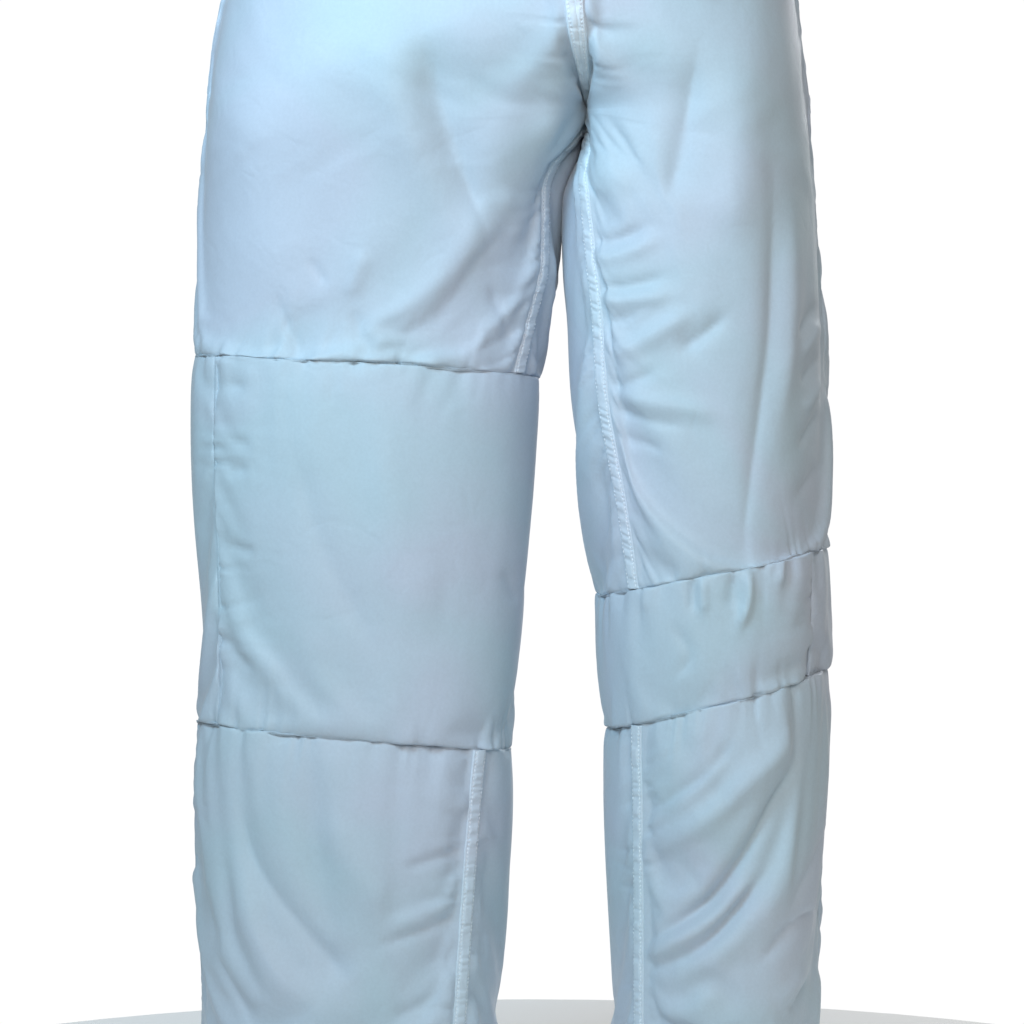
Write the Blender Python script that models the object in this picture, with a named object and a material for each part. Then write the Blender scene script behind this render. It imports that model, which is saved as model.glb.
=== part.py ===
"""Insulated ski pants, standing as filled, front towards -Y, waist opening centred on the origin.

Metres, +Z up. The wearer's right leg is at -X. Each leg is a tube of superellipse sections whose
inner point faces the other leg. Above the crotch the two tubes run into each other and are cut on
the split plane, which gives the rise seam its J shape.
"""

import math

import bmesh
import bpy
from mathutils import Matrix, Vector

# Heights
WAIST_Z = 0.0
BAND_Z = -0.035  # lower edge of the waistband
FLY_END_Z = -0.165
HIP_Z = -0.180
CROTCH_Z = -0.270
HEM_TOP_Z = -1.020
HEM_Z = -1.046
GAITER_TOP_Z = -0.930

# Layers, as depths below the outer surface
GAP = 0.0003  # half of the clearance between two sewn pieces
KNEE_GAP = 0.0010  # the same at the knee seams, whose two sides have facets of their own
SHELL = 0.0016
QUILT_OUT = 0.0021
QUILT_IN = 0.0065
SQUARENESS = 2.25  # exponent of the superellipse sections

# Plan
SPLIT_X = 0.0225  # the plane between the legs
SEAT = 0.018  # how far the seat stands out behind the front's depth
LEAN = 0.026  # how far the crotch seam leans to the wearer's left
LEAN_HIP = 0.014
LEAN_REACH = 0.150
FLY_HALF = 0.004  # half of the slit that shows the zip's chain
QUILT_FLY_HALF = 0.018

# Each leg: outer and inner edges from the split plane, half depths, where the inseam runs round the
# leg, and the knee section's seams as height, tilt from inner to outer side, and rise at the back
SIDES = {
    "right": {
        "sign": -1.0,
        "outer": [(WAIST_Z, 0.205), (HIP_Z, 0.270), (-0.434, 0.288), (-0.53, 0.291),
                  (-0.706, 0.286), (-0.842, 0.289), (HEM_Z, 0.282)],
        "inner": [(CROTCH_Z, 0.0006), (-0.36, 0.0025), (-0.434, 0.008), (-0.578, 0.019),
                  (-0.706, 0.029), (-0.8, 0.038), (HEM_Z, 0.051)],
        "depth": [(WAIST_Z, 0.095), (HIP_Z, 0.130), (CROTCH_Z, 0.122), (-0.36, 0.104),
                  (-0.5, 0.092), (-0.776, 0.083), (HEM_Z, 0.075)],
        "inseam": [(CROTCH_Z, 0.0), (-0.31, 0.38), (-0.39, 0.38), (-0.469, 0.5),
                   (-0.776, 0.66), (HEM_Z, 0.76)],
        "thigh_rows": (-0.31, -0.37),
        "knee_top": (-0.472, -0.0084, 0.0),
        "knee_foot": (-0.765, -0.0115, 0.0),
        "knee_front_edge": 2.56,
        "pocket_angle": 2.15,
    },
    "left": {
        "sign": 1.0,
        "outer": [(WAIST_Z, 0.160), (HIP_Z, 0.195), (-0.434, 0.218), (-0.53, 0.220),
                  (-0.706, 0.2195), (-0.842, 0.2165), (HEM_Z, 0.205)],
        "inner": [(CROTCH_Z, 0.0006), (-0.36, 0.0025), (-0.434, 0.008), (-0.578, 0.0216),
                  (-0.706, 0.035), (-0.8, 0.041), (HEM_Z, 0.048)],
        "depth": [(WAIST_Z, 0.095), (HIP_Z, 0.130), (CROTCH_Z, 0.122), (-0.36, 0.124),
                  (-0.5, 0.126), (-0.776, 0.119), (HEM_Z, 0.111)],
        "inseam": [(CROTCH_Z, 0.0), (-0.338, 0.68), (-0.41, 0.77), (-0.65, 0.82),
                   (-0.776, 0.73), (HEM_Z, 0.67)],
        "thigh_rows": (-0.31, -0.39, -0.5),
        "knee_top": (-0.635, -0.019, 0.03),
        "knee_foot": (-0.7356, -0.024, -0.035),
        "knee_front_edge": 2.6,
        "pocket_angle": 2.15,
    },
}
UPPER_ROWS = (BAND_Z, FLY_END_Z, HIP_Z, -0.215, -0.245, -0.262, CROTCH_Z)
AROUND = 10  # columns on each of the front and the back panels
KNEE_BACK_EDGE = -0.35  # the knee's inner seam, just behind the inner point of the leg
BAND_HALF = 0.006
BAND_LIFT = (-0.0022, -0.0013)
RISE_LIFT = (-0.0034, -0.0024)  # clears the twisted facets beside the rise seam


def material(name, colour, roughness, metallic=0.0):
    """A Principled BSDF with the part's colour."""
    made = bpy.data.materials.new(name)
    made.use_nodes = True
    shader = made.node_tree.nodes["Principled BSDF"]
    shader.inputs["Base Color"].default_value = (*colour, 1.0)
    shader.inputs["Roughness"].default_value = roughness
    shader.inputs["Metallic"].default_value = metallic
    made.diffuse_color = (*colour, 1.0)
    return made


def along(stations, z):
    """The value at height z on a smooth curve through stations, listed from the top down."""
    if z >= stations[0][0]:
        return stations[0][1]
    if z <= stations[-1][0]:
        return stations[-1][1]
    i = next(k for k in range(len(stations) - 1) if z >= stations[k + 1][0])
    (z0, v0), (z1, v1) = stations[i], stations[i + 1]
    t = (z - z0) / (z1 - z0)
    if z0 >= WAIST_Z:
        return v0 + (v1 - v0) * t  # the hips are straight from waist to hip line

    def slope(k):
        low, high = max(k - 1, 0), min(k + 1, len(stations) - 1)
        return (stations[high][1] - stations[low][1]) / (stations[high][0] - stations[low][0])

    step = z1 - z0
    m0, m1 = slope(i) * step, slope(i + 1) * step
    return (
        v0 * (2 * t**3 - 3 * t**2 + 1) + m0 * (t**3 - 2 * t**2 + t)
        + v1 * (3 * t**2 - 2 * t**3) + m1 * (t**3 - t**2)
    )


def straight(stations, z):
    """The value at height z on straight lines through stations."""
    if z >= stations[0][0]:
        return stations[0][1]
    for (z0, v0), (z1, v1) in zip(stations, stations[1:]):
        if z >= z1:
            return v0 + (v1 - v0) * (z - z0) / (z1 - z0)
    return stations[-1][1]


def smooth(t):
    t = min(1.0, max(0.0, t))
    return t * t * (3 - 2 * t)


def section(side, z):
    """Centre and half width from the split plane, and front and back half depths, at height z."""
    leg = SIDES[side]
    outer = along(leg["outer"], z)
    if z >= CROTCH_Z:
        shared = max(0.0, (HIP_Z - z) / (HIP_Z - CROTCH_Z))
        half = outer / (1 + shared)
        centre = outer - half
    else:
        inner = along(leg["inner"], z)
        half = (outer - inner) / 2
        centre = (outer + inner) / 2
    front = along(leg["depth"], z)
    seat = SEAT * smooth(1 - abs(z - HIP_Z) / 0.17)
    return centre, half, front, front + seat


def lean(x, z):
    """How far the fabric at x from the split plane is drawn to the wearer's left."""
    if z >= HIP_Z:
        pull = LEAN_HIP * (z - WAIST_Z) / (HIP_Z - WAIST_Z)
    elif z >= CROTCH_Z:
        pull = LEAN_HIP + (LEAN - LEAN_HIP) * smooth((z - HIP_Z) / (CROTCH_Z - HIP_Z))
    else:
        pull = LEAN * smooth(1 - (CROTCH_Z - z) / 0.07)
    return pull * smooth(1 - abs(x) / LEAN_REACH)


def power(value):
    return math.copysign(abs(value) ** (2 / SQUARENESS), value)


def surface(side, angle, z, depth=0.0):
    """The point at an angle round the leg: 0 inner, quarter turn front, half turn outer."""
    centre, half, front, back = section(side, z)
    across = centre - (half - depth) * power(math.cos(angle))
    turn = power(math.sin(angle))
    y = -(front - depth) * turn if turn > 0 else -(back - depth) * turn
    x = SIDES[side]["sign"] * across
    return Vector((SPLIT_X + x + lean(x, z), y, z))


def cut_angle(side, z, clearance, depth):
    """The angle where the section at height z is cut, clearance from the split plane."""
    centre, half, _, _ = section(side, z)
    share = min(1.0, (centre - clearance) / (half - depth))
    return math.acos(math.copysign(abs(share) ** (SQUARENESS / 2), share))


def inner_edge(side, z, clearance, depth, back):
    """The angle of a panel's inner edge: on the split plane, then on the inseam."""
    if z > CROTCH_Z:
        angle = max(cut_angle(side, z, clearance, depth), 0.003)
        return 2 * math.pi - angle if back else angle
    inseam = straight(SIDES[side]["inseam"], z)
    return 2 * math.pi + inseam - 0.003 if back else inseam + 0.003


def knee_line(side, which, angle):
    """The height of a knee section's seam at an angle round the leg."""
    height, tilt, back = SIDES[side][which]
    return height + tilt * math.cos(angle) + back * max(0.0, -math.sin(angle)) ** 2


def slab(name, rows, columns, point, layers, look, wrap=False):
    """One sheet of cloth: rows by columns of point(row, column, depth), between two depths."""
    grid = bmesh.new()
    sheets = []
    for depth in layers:
        sheets.append([
            [grid.verts.new(point(j, i, depth)) for i in range(columns + (0 if wrap else 1))]
            for j in range(rows + 1)
        ])
    outer, inner = sheets
    count = len(outer[0])
    for j in range(rows):
        for i in range(columns):
            k = (i + 1) % count
            grid.faces.new((outer[j][i], outer[j][k], outer[j + 1][k], outer[j + 1][i]))
            grid.faces.new((inner[j][i], inner[j + 1][i], inner[j + 1][k], inner[j][k]))
    for i in range(columns):
        k = (i + 1) % count
        grid.faces.new((outer[0][i], inner[0][i], inner[0][k], outer[0][k]))
        grid.faces.new((outer[rows][i], outer[rows][k], inner[rows][k], inner[rows][i]))
    if not wrap:
        for j in range(rows):
            grid.faces.new((outer[j][0], outer[j + 1][0], inner[j + 1][0], inner[j][0]))
            grid.faces.new(
                (outer[j][columns], inner[j][columns], inner[j + 1][columns], outer[j + 1][columns])
            )
    return finish(name, grid, look)


def finish(name, grid, look):
    """Turn a bmesh into a named object whose faces point out."""
    bmesh.ops.recalc_face_normals(grid, faces=grid.faces)
    if grid.calc_volume(signed=True) < 0:
        bmesh.ops.reverse_faces(grid, faces=grid.faces)
    bmesh.ops.triangulate(grid, faces=grid.faces)
    mesh = bpy.data.meshes.new(name)
    grid.to_mesh(mesh)
    grid.free()
    mesh.materials.append(look)
    made = bpy.data.objects.new(name, mesh)
    bpy.context.scene.collection.objects.link(made)
    return made


def panel(name, side, lines, edges, columns, layers, look, wrap=False):
    """A sheet round part of a leg. lines give each row's height at an angle, edges its corners.

    edges gives two angles, or three where the columns are shared out on both sides of a corner,
    as on a lining that lies behind a front and a back panel.
    """

    def point(j, i, depth):
        line = lines[j]
        corners = edges(line(0.5), depth)
        share = i / columns * (len(corners) - 1)
        part = min(int(share), len(corners) - 2)
        angle = corners[part] + (corners[part + 1] - corners[part]) * (share - part)
        return surface(side, angle, line(angle), depth)

    return slab(name, len(lines) - 1, columns, point, layers, look, wrap)


def level(z):
    return lambda angle: z


def upper_lines(side):
    """Row heights from the waistband to the knee section's upper seam."""
    heights = UPPER_ROWS + SIDES[side]["thigh_rows"]
    lines = [level(heights[0] - GAP)] + [level(z) for z in heights[1:]]
    return lines + [lambda angle: knee_line(side, "knee_top", angle) + KNEE_GAP]


def knee_lines(side):
    """Row heights of the knee section, in three bands."""

    def between(share):
        return lambda angle: (
            (knee_line(side, "knee_top", angle) - KNEE_GAP) * (1 - share)
            + (knee_line(side, "knee_foot", angle) + KNEE_GAP) * share
        )

    return [between(share / 3) for share in range(4)]


def shin_lines(side):
    """Row heights from the knee section's lower seam to the hem."""

    def between(share):
        return lambda angle: (
            (knee_line(side, "knee_foot", angle) - KNEE_GAP) * (1 - share)
            + (HEM_TOP_Z + GAP) * share
        )

    return [between(share / 3) for share in range(4)]


def make_upper(side, looks):
    """Front and back panels from the waistband to the knee, and the quilted lining inside."""

    def clear(z, half):
        return half if z > FLY_END_Z - 0.001 else GAP

    def front(z, depth):
        return inner_edge(side, z, clear(z, FLY_HALF), depth, False), math.pi - 0.003

    def back(z, depth):
        return math.pi + 0.003, inner_edge(side, z, GAP, depth, True)

    def quilt(z, depth):
        start = inner_edge(side, z, clear(z, QUILT_FLY_HALF), depth, False)
        return start, math.pi, inner_edge(side, z, GAP, depth, True)

    lines = upper_lines(side)
    panel(side + "_front_panel", side, lines, front, AROUND, (0, SHELL), looks["shell"])
    panel(side + "_back_panel", side, lines, back, AROUND, (0, SHELL), looks["shell"])
    layers = (QUILT_OUT, QUILT_IN)
    panel(side + "_thigh_quilted_lining", side, lines, quilt, 2 * AROUND, layers, looks["lining"])


def make_knee(side, looks):
    """The knee section: a front and a back piece, and the quilted lining inside."""
    seam = SIDES[side]["knee_front_edge"]
    lines = knee_lines(side)

    def front(z, depth):
        return KNEE_BACK_EDGE + 0.003, seam - 0.003

    def back(z, depth):
        return seam + 0.003, 2 * math.pi + KNEE_BACK_EDGE - 0.003

    def whole(z, depth):
        return KNEE_BACK_EDGE, seam, 2 * math.pi + KNEE_BACK_EDGE

    panel(side + "_knee_front", side, lines, front, AROUND, (0, SHELL), looks["shell"])
    panel(side + "_knee_back", side, lines, back, AROUND, (0, SHELL), looks["shell"])
    layers = (QUILT_OUT, QUILT_IN)
    columns = 2 * AROUND
    panel(side + "_knee_quilted_lining", side, lines, whole, columns, layers, looks["lining"], True)


def make_shin(side, looks):
    """Shin and calf panels, quilted lining, hem, snow gaiter and the gaiter's elastic."""
    lines = shin_lines(side)

    def front(z, depth):
        return inner_edge(side, z, GAP, depth, False), math.pi - 0.003

    def back(z, depth):
        return math.pi + 0.003, inner_edge(side, z, GAP, depth, True)

    def whole(z, depth):
        start = straight(SIDES[side]["inseam"], z)
        return start, math.pi, start + 2 * math.pi

    columns = 2 * AROUND
    panel(side + "_shin_panel", side, lines, front, AROUND, (0, SHELL), looks["shell"])
    panel(side + "_calf_panel", side, lines, back, AROUND, (0, SHELL), looks["shell"])
    layers = (QUILT_OUT, QUILT_IN)
    panel(side + "_shin_quilted_lining", side, lines, whole, columns, layers, looks["lining"], True)
    ends = [level(HEM_TOP_Z - GAP), level(HEM_Z)]
    panel(side + "_hem", side, ends, whole, columns, (0, QUILT_IN), looks["shell"], True)

    heights = (GAITER_TOP_Z, -0.985, -1.024)
    insets = (0.0090, 0.015, 0.022)
    cuff = (-1.0246, -1.040)

    def gaiter(j, i, depth):
        angle = 2 * math.pi * i / columns
        return surface(side, angle, heights[j], insets[j] + depth)

    def elastic(j, i, depth):
        angle = 2 * math.pi * i / columns
        return surface(side, angle, cuff[j], insets[-1] - 0.001 + depth)

    slab(side + "_snow_gaiter", 2, columns, gaiter, (0, 0.0012), looks["gaiter"], True)
    slab(side + "_gaiter_elastic", 1, columns, elastic, (0, 0.003), looks["elastic"], True)


def make_inseam_bands(side, looks):
    """Felled seam bands that cover the inseam above and below the knee section."""
    thigh = [level(z) for z in SIDES[side]["thigh_rows"]]
    thigh += [lambda angle: knee_line(side, "knee_top", angle) + 0.001]
    shin = shin_lines(side)
    top = shin[0]
    shin[0] = lambda angle: top(angle) - 0.001

    def edges(z, depth):
        middle = straight(SIDES[side]["inseam"], z)
        _, half, front, _ = section(side, z)
        spread = BAND_HALF / math.hypot(half * math.sin(middle), front * math.cos(middle))
        return middle - spread, middle + spread

    panel(side + "_thigh_inseam_band", side, thigh, edges, 2, BAND_LIFT, looks["band"])
    panel(side + "_shin_inseam_band", side, shin, edges, 2, BAND_LIFT, looks["band"])


def on_plane(x, z, depth, back):
    """The front or back surface at a distance x from the split plane."""
    side = "right" if x < 0 else "left"
    centre, half, _, _ = section(side, z)
    share = (centre - abs(x)) / (half - depth)
    angle = math.acos(math.copysign(abs(share) ** (SQUARENESS / 2), share))
    return surface(side, -angle if back else angle, z, depth)


def make_rise_bands(looks):
    """Felled bands on the centre front, below the fly, and on the centre back."""
    places = (-BAND_HALF, 0.0, BAND_HALF)
    front = (FLY_END_Z - 0.004, HIP_Z, -0.215, -0.242)
    back = (BAND_Z - 0.010, FLY_END_Z, HIP_Z, -0.215, -0.242)

    def front_point(j, i, depth):
        return on_plane(places[i], front[j], depth, False)

    def back_point(j, i, depth):
        return on_plane(places[i], back[j], depth, True)

    slab("centre_front_seam_band", len(front) - 1, 2, front_point, RISE_LIFT, looks["band"])
    slab("centre_back_seam_band", len(back) - 1, 2, back_point, RISE_LIFT, looks["band"])


def make_waistband(side, looks):
    """The outer band and the facing sewn inside it, from centre front to centre back."""
    lines = [level(WAIST_Z), level(BAND_Z + GAP)]

    def edges(z, depth):
        start = cut_angle(side, z, GAP, depth)
        return start, 2 * math.pi - cut_angle(side, z, GAP, depth)

    columns = 2 * AROUND
    panel(side + "_waistband", side, lines, edges, columns, (-0.0008, 0.0012), looks["shell"])
    layers = (0.0017, 0.0037)
    panel(side + "_waistband_facing", side, lines, edges, columns, layers, looks["lining"])


def local_frame(top, foot, outward):
    """Axes of a flat fitting on the surface: origin at top, Y up along it, Z outward."""
    up = (top - foot).normalized()
    normal = (outward - up * outward.dot(up)).normalized()
    across = up.cross(normal)
    frame = Matrix((across, up, normal)).transposed().to_4x4()
    frame.translation = top
    return frame


def plate(name, frame, outline, low, high, look, hole=None):
    """A flat piece with an outline in the frame's plane, from low to high outward."""
    grid = bmesh.new()
    if hole:
        rings = [[grid.verts.new(frame @ Vector((*p, h))) for p in ring]
                 for h in (low, high) for ring in (outline, hole)]
        count = len(outline)
        low_out, low_in, high_out, high_in = rings
        for i in range(count):
            k = (i + 1) % count
            grid.faces.new((low_out[i], low_in[i], low_in[k], low_out[k]))
            grid.faces.new((high_out[i], high_out[k], high_in[k], high_in[i]))
            grid.faces.new((low_out[i], low_out[k], high_out[k], high_out[i]))
            grid.faces.new((low_in[i], high_in[i], high_in[k], low_in[k]))
    else:
        face = grid.faces.new([grid.verts.new(frame @ Vector((*p, low))) for p in outline])
        grown = bmesh.ops.extrude_face_region(grid, geom=[face])
        moved = [v for v in grown["geom"] if isinstance(v, bmesh.types.BMVert)]
        rise = frame.to_3x3() @ Vector((0, 0, high - low))
        bmesh.ops.translate(grid, verts=moved, vec=rise)
    return finish(name, grid, look)


def box_outline(left, right, foot, top):
    return [(left, foot), (right, foot), (right, top), (left, top)]


def ring_outline(radius, count, centre=(0.0, 0.0), stretch=1.0):
    turns = [2 * math.pi * i / count for i in range(count)]
    return [
        (centre[0] + radius * math.cos(t), centre[1] + radius * stretch * math.sin(t))
        for t in turns
    ]


def make_zip(name, frame, length, low, looks):
    """Chain, bottom stop, slider and pull of a zip whose top is at the frame's origin."""
    chain = box_outline(-0.003, 0.003, -length, 0.0)
    plate(name + "_zip_chain", frame, chain, low, low + 0.0013, looks["chain"])
    front = max(low + 0.0013, 0.0) + 0.0004
    body = [(-0.003, -0.012), (0.003, -0.012), (0.0045, -0.006), (0.0045, -0.002),
            (0.0025, -0.001), (-0.0025, -0.001), (-0.0045, -0.002), (-0.0045, -0.006)]
    plate(name + "_zip_slider", frame, body, front, front + 0.0028, looks["metal"])
    centre = (0.0, -0.0165)
    tab = ring_outline(0.0035, 12, centre, 3.4)
    eye = ring_outline(0.0018, 12, centre, 3.0)
    lift = front + 0.0032
    plate(name + "_zip_pull", frame, tab, lift, lift + 0.0014, looks["metal"], eye)


def make_fly(looks):
    """The centre-front zip with its tapes and bottom stop."""
    top = on_plane(0.0, BAND_Z - 0.005, 0.0, False)
    foot = on_plane(0.0, FLY_END_Z, 0.0, False)
    frame = local_frame(top, foot, Vector((0, -1, 0)))
    length = (top - foot).length - 0.006
    make_zip("fly", frame, length, -0.0016, looks)
    stop = box_outline(-0.0028, 0.0028, -length - 0.0045, -length - 0.0006)
    plate("fly_zip_bottom_stop", frame, stop, -0.0016, 0.0006, looks["metal"])
    for side, sign in (("right", -1), ("left", 1)):
        near, far = sorted((sign * 0.0006, sign * 0.014))
        tape = box_outline(near, far, -length, 0.0)
        plate("fly_zip_tape_" + side, frame, tape, -0.0034, -0.0024, looks["tape"])


def make_pocket(side, looks):
    """A zipped hand pocket on the hip: the zip outside and the empty bag inside the lining."""
    angle = SIDES[side]["pocket_angle"]
    top = surface(side, angle, BAND_Z - 0.012)
    foot = surface(side, angle, FLY_END_Z)
    beside = surface(side, angle + 0.01, BAND_Z - 0.012) - top
    outward = beside.cross(top - foot)
    if outward.y > 0:
        outward = -outward
    frame = local_frame(top, foot, outward)
    make_zip(side + "_pocket", frame, (top - foot).length, 0.0005, looks)
    lines = [level(z) for z in (BAND_Z - 0.006, FLY_END_Z, HIP_Z, -0.215)]

    def edges(z, depth):
        return angle - 0.45, angle + 0.35

    layers = (QUILT_IN + 0.0012, QUILT_IN + 0.0028)
    panel(side + "_pocket_bag", side, lines, edges, 4, layers, looks["lining"])


def make_closure(looks):
    """The tab that crosses the waistband's front gap, with its snap."""
    columns = [-0.035, -0.024, -0.010, 0.006, 0.020, 0.030]
    heights = (-0.006, -0.030)

    def tab(j, i, depth):
        root = 0.0018 if i == 0 else 0.0
        return on_plane(columns[i], heights[j], depth + root, False)

    slab("waist_tab", 1, len(columns) - 1, tab, (-0.0046, -0.0030), looks["shell"])
    middle = sum(heights) / 2
    centre = on_plane(0.018, middle, 0.0, False)
    foot = on_plane(0.018, middle - 0.01, 0.0, False)
    frame = local_frame(centre, foot, Vector((0, -1, 0)))
    plate("waist_snap_cap", frame, ring_outline(0.0075, 24), 0.0050, 0.0066, looks["metal"])
    plate("waist_snap_stud", frame, ring_outline(0.0050, 20), 0.0012, 0.0026, looks["metal"])


def make_belt_loops(looks):
    """Five loops, each a strap that stands off the waistband between two sewn ends."""
    places = {
        "front_right": (-0.075, False), "front_left": (0.055, False),
        "back_right": (-0.075, True), "back_centre": (0.0, True), "back_left": (0.055, True),
    }
    height, rise, strap, half = 0.040, 0.0085, 0.0014, 0.005
    for name, (x, back) in places.items():
        top = on_plane(x, -0.001, -0.0012, back)
        foot = on_plane(x, -0.041, -0.0012, back)
        beside = on_plane(x + 0.002, -0.001, -0.0012, back) - top
        outward = beside.cross(top - foot)
        if outward.y * (1 if back else -1) < 0:
            outward = -outward
        frame = local_frame(top, foot, outward)
        profile = [(0.0, 0.0), (rise, 0.0), (rise, -height), (0.0, -height), (0.0, strap - height),
                   (rise - strap, strap - height), (rise - strap, -strap), (0.0, -strap)]
        grid = bmesh.new()
        rings = [[grid.verts.new(frame @ Vector((w, y, n))) for n, y in profile]
                 for w in (-half, half)]
        count = len(profile)
        for i in range(count):
            k = (i + 1) % count
            grid.faces.new((rings[0][i], rings[0][k], rings[1][k], rings[1][i]))
        grid.faces.new(rings[0])
        grid.faces.new(rings[1][::-1])
        finish("belt_loop_" + name, grid, looks["band"])


def main():
    for old in list(bpy.data.objects):
        bpy.data.objects.remove(old, do_unlink=True)
    looks = {
        "shell": material("shell_fabric", (0.62, 0.73, 0.82), 0.42),
        "band": material("seam_band", (0.68, 0.78, 0.86), 0.45),
        "lining": material("lining_fabric", (0.70, 0.73, 0.76), 0.7),
        "gaiter": material("gaiter_fabric", (0.50, 0.55, 0.60), 0.6),
        "elastic": material("elastic", (0.75, 0.76, 0.78), 0.8),
        "tape": material("zip_tape", (0.66, 0.74, 0.80), 0.8),
        "chain": material("zip_chain", (0.72, 0.76, 0.80), 0.35),
        "metal": material("zip_metal", (0.70, 0.71, 0.73), 0.3, 1.0),
    }
    for side in SIDES:
        make_upper(side, looks)
        make_knee(side, looks)
        make_shin(side, looks)
        make_inseam_bands(side, looks)
        make_waistband(side, looks)
        make_pocket(side, looks)
    make_rise_bands(looks)
    make_fly(looks)
    make_closure(looks)
    make_belt_loops(looks)


main()
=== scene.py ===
import math

import bpy
import numpy as np
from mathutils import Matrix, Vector


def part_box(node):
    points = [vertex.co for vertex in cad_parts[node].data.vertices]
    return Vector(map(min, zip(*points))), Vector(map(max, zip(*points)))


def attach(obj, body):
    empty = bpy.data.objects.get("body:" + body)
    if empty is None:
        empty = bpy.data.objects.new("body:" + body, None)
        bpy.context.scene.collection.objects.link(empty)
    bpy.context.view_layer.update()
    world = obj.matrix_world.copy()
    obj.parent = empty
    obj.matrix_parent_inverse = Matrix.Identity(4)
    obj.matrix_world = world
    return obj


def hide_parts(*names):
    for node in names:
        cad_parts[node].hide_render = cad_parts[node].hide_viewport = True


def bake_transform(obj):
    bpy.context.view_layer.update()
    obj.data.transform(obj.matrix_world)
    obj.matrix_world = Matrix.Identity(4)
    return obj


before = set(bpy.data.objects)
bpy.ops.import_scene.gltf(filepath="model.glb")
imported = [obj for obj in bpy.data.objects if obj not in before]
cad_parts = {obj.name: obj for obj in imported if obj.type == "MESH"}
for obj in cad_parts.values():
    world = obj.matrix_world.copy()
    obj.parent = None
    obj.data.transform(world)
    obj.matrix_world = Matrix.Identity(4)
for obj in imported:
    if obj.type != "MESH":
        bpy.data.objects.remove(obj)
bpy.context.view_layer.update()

# ---- driving dimensions (metres)
WAIST_Z, BAND_Z, FLY_END_Z = 0.0, -0.035, -0.165
HIP_Z, CROTCH_Z = -0.180, -0.270
HEM_TOP_Z, HEM_Z = -1.020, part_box("right_hem")[0][2]
GAITER_TOP_Z, GAITER_FOOT_Z = -0.932, -1.0250
CUFF_TOP_Z, CUFF_FOOT_Z = -1.0245, -1.0405
BAG_FOOT_Z = -0.215
SQUARENESS = 2.25
SPLIT_X = 0.0225
SEAT = 0.018
LEAN, LEAN_HIP, LEAN_REACH = 0.026, 0.012, 0.150
FLY_HALF, QUILT_FLY_HALF = 0.004, 0.018
KNEE_BACK_EDGE = -0.35
ROOT = "seat_and_thighs"
TURN = 2 * math.pi

STEP = 0.0031  # spacing of the shell's mesh
NEAR_SEAM = (0.0, 0.00015, 0.0008, 0.0017, 0.0029, 0.0046)  # closer rows beside a seam
SHELL = 0.0012
SEAM_ALLOWANCE = 0.0050  # the cloth turned inward along each seam
QUILT_OUT, QUILT_THICK, QUILT_FLARE = 0.0095, 0.0030, 0.028
BAND_HALF = 0.0074
STITCH_PITCH, STITCH_LENGTH, STITCH_RADIUS, STITCH_LIFT = 0.0034, 0.0026, 0.00040, 0.0001

SIDES = {
    "right": {
        "sign": -1.0,
        "outer": [(WAIST_Z, 0.205), (HIP_Z, 0.270), (-0.434, 0.288), (-0.53, 0.291),
                  (-0.706, 0.286), (-0.842, 0.289), (HEM_Z, 0.282)],
        "inner": [(CROTCH_Z, 0.0), (-0.398, 0.0), (-0.434, 0.0064), (-0.502, 0.0160),
                  (-0.578, 0.0205), (-0.706, 0.029), (-0.8, 0.038), (HEM_Z, 0.051)],
        "depth": [(WAIST_Z, 0.095), (HIP_Z, 0.130), (CROTCH_Z, 0.122), (-0.36, 0.104),
                  (-0.5, 0.092), (-0.776, 0.083), (HEM_Z, 0.075)],
        "inseam": [(CROTCH_Z, 0.0), (-0.31, 0.38), (-0.39, 0.38), (-0.469, 0.5),
                   (-0.776, 0.66), (HEM_Z, 0.76)],
        "knee_top": (-0.472, -0.0084, 0.0),
        "knee_foot": (-0.765, -0.0115, 0.0),
        "knee_front_edge": 2.56,
        "bend": (-0.50, -0.74),
    },
    "left": {
        "sign": 1.0,
        "outer": [(WAIST_Z, 0.160), (HIP_Z, 0.195), (-0.434, 0.2145), (-0.53, 0.2155),
                  (-0.706, 0.2150), (-0.842, 0.2135), (HEM_Z, 0.205)],
        "inner": [(CROTCH_Z, 0.0), (-0.398, 0.0), (-0.434, 0.0028), (-0.502, 0.0070),
                  (-0.578, 0.0216), (-0.640, 0.0310), (-0.706, 0.0362), (-0.8, 0.042),
                  (HEM_Z, 0.048)],
        "depth": [(WAIST_Z, 0.095), (HIP_Z, 0.130), (CROTCH_Z, 0.122), (-0.36, 0.124),
                  (-0.5, 0.126), (-0.776, 0.119), (HEM_Z, 0.111)],
        "inseam": [(CROTCH_Z, 0.0), (-0.286, 0.25), (-0.306, 0.52), (-0.338, 0.68),
                   (-0.41, 0.77), (-0.65, 0.82), (-0.776, 0.73), (HEM_Z, 0.67)],
        "knee_top": (-0.635, -0.019, 0.03),
        "knee_foot": (-0.7356, -0.024, -0.035),
        "knee_front_edge": 2.52,
        "bend": (-0.56, -0.82),
    },
}

FOLD_STRENGTH, BACK_STRENGTH = 1.45, 0.62

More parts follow.
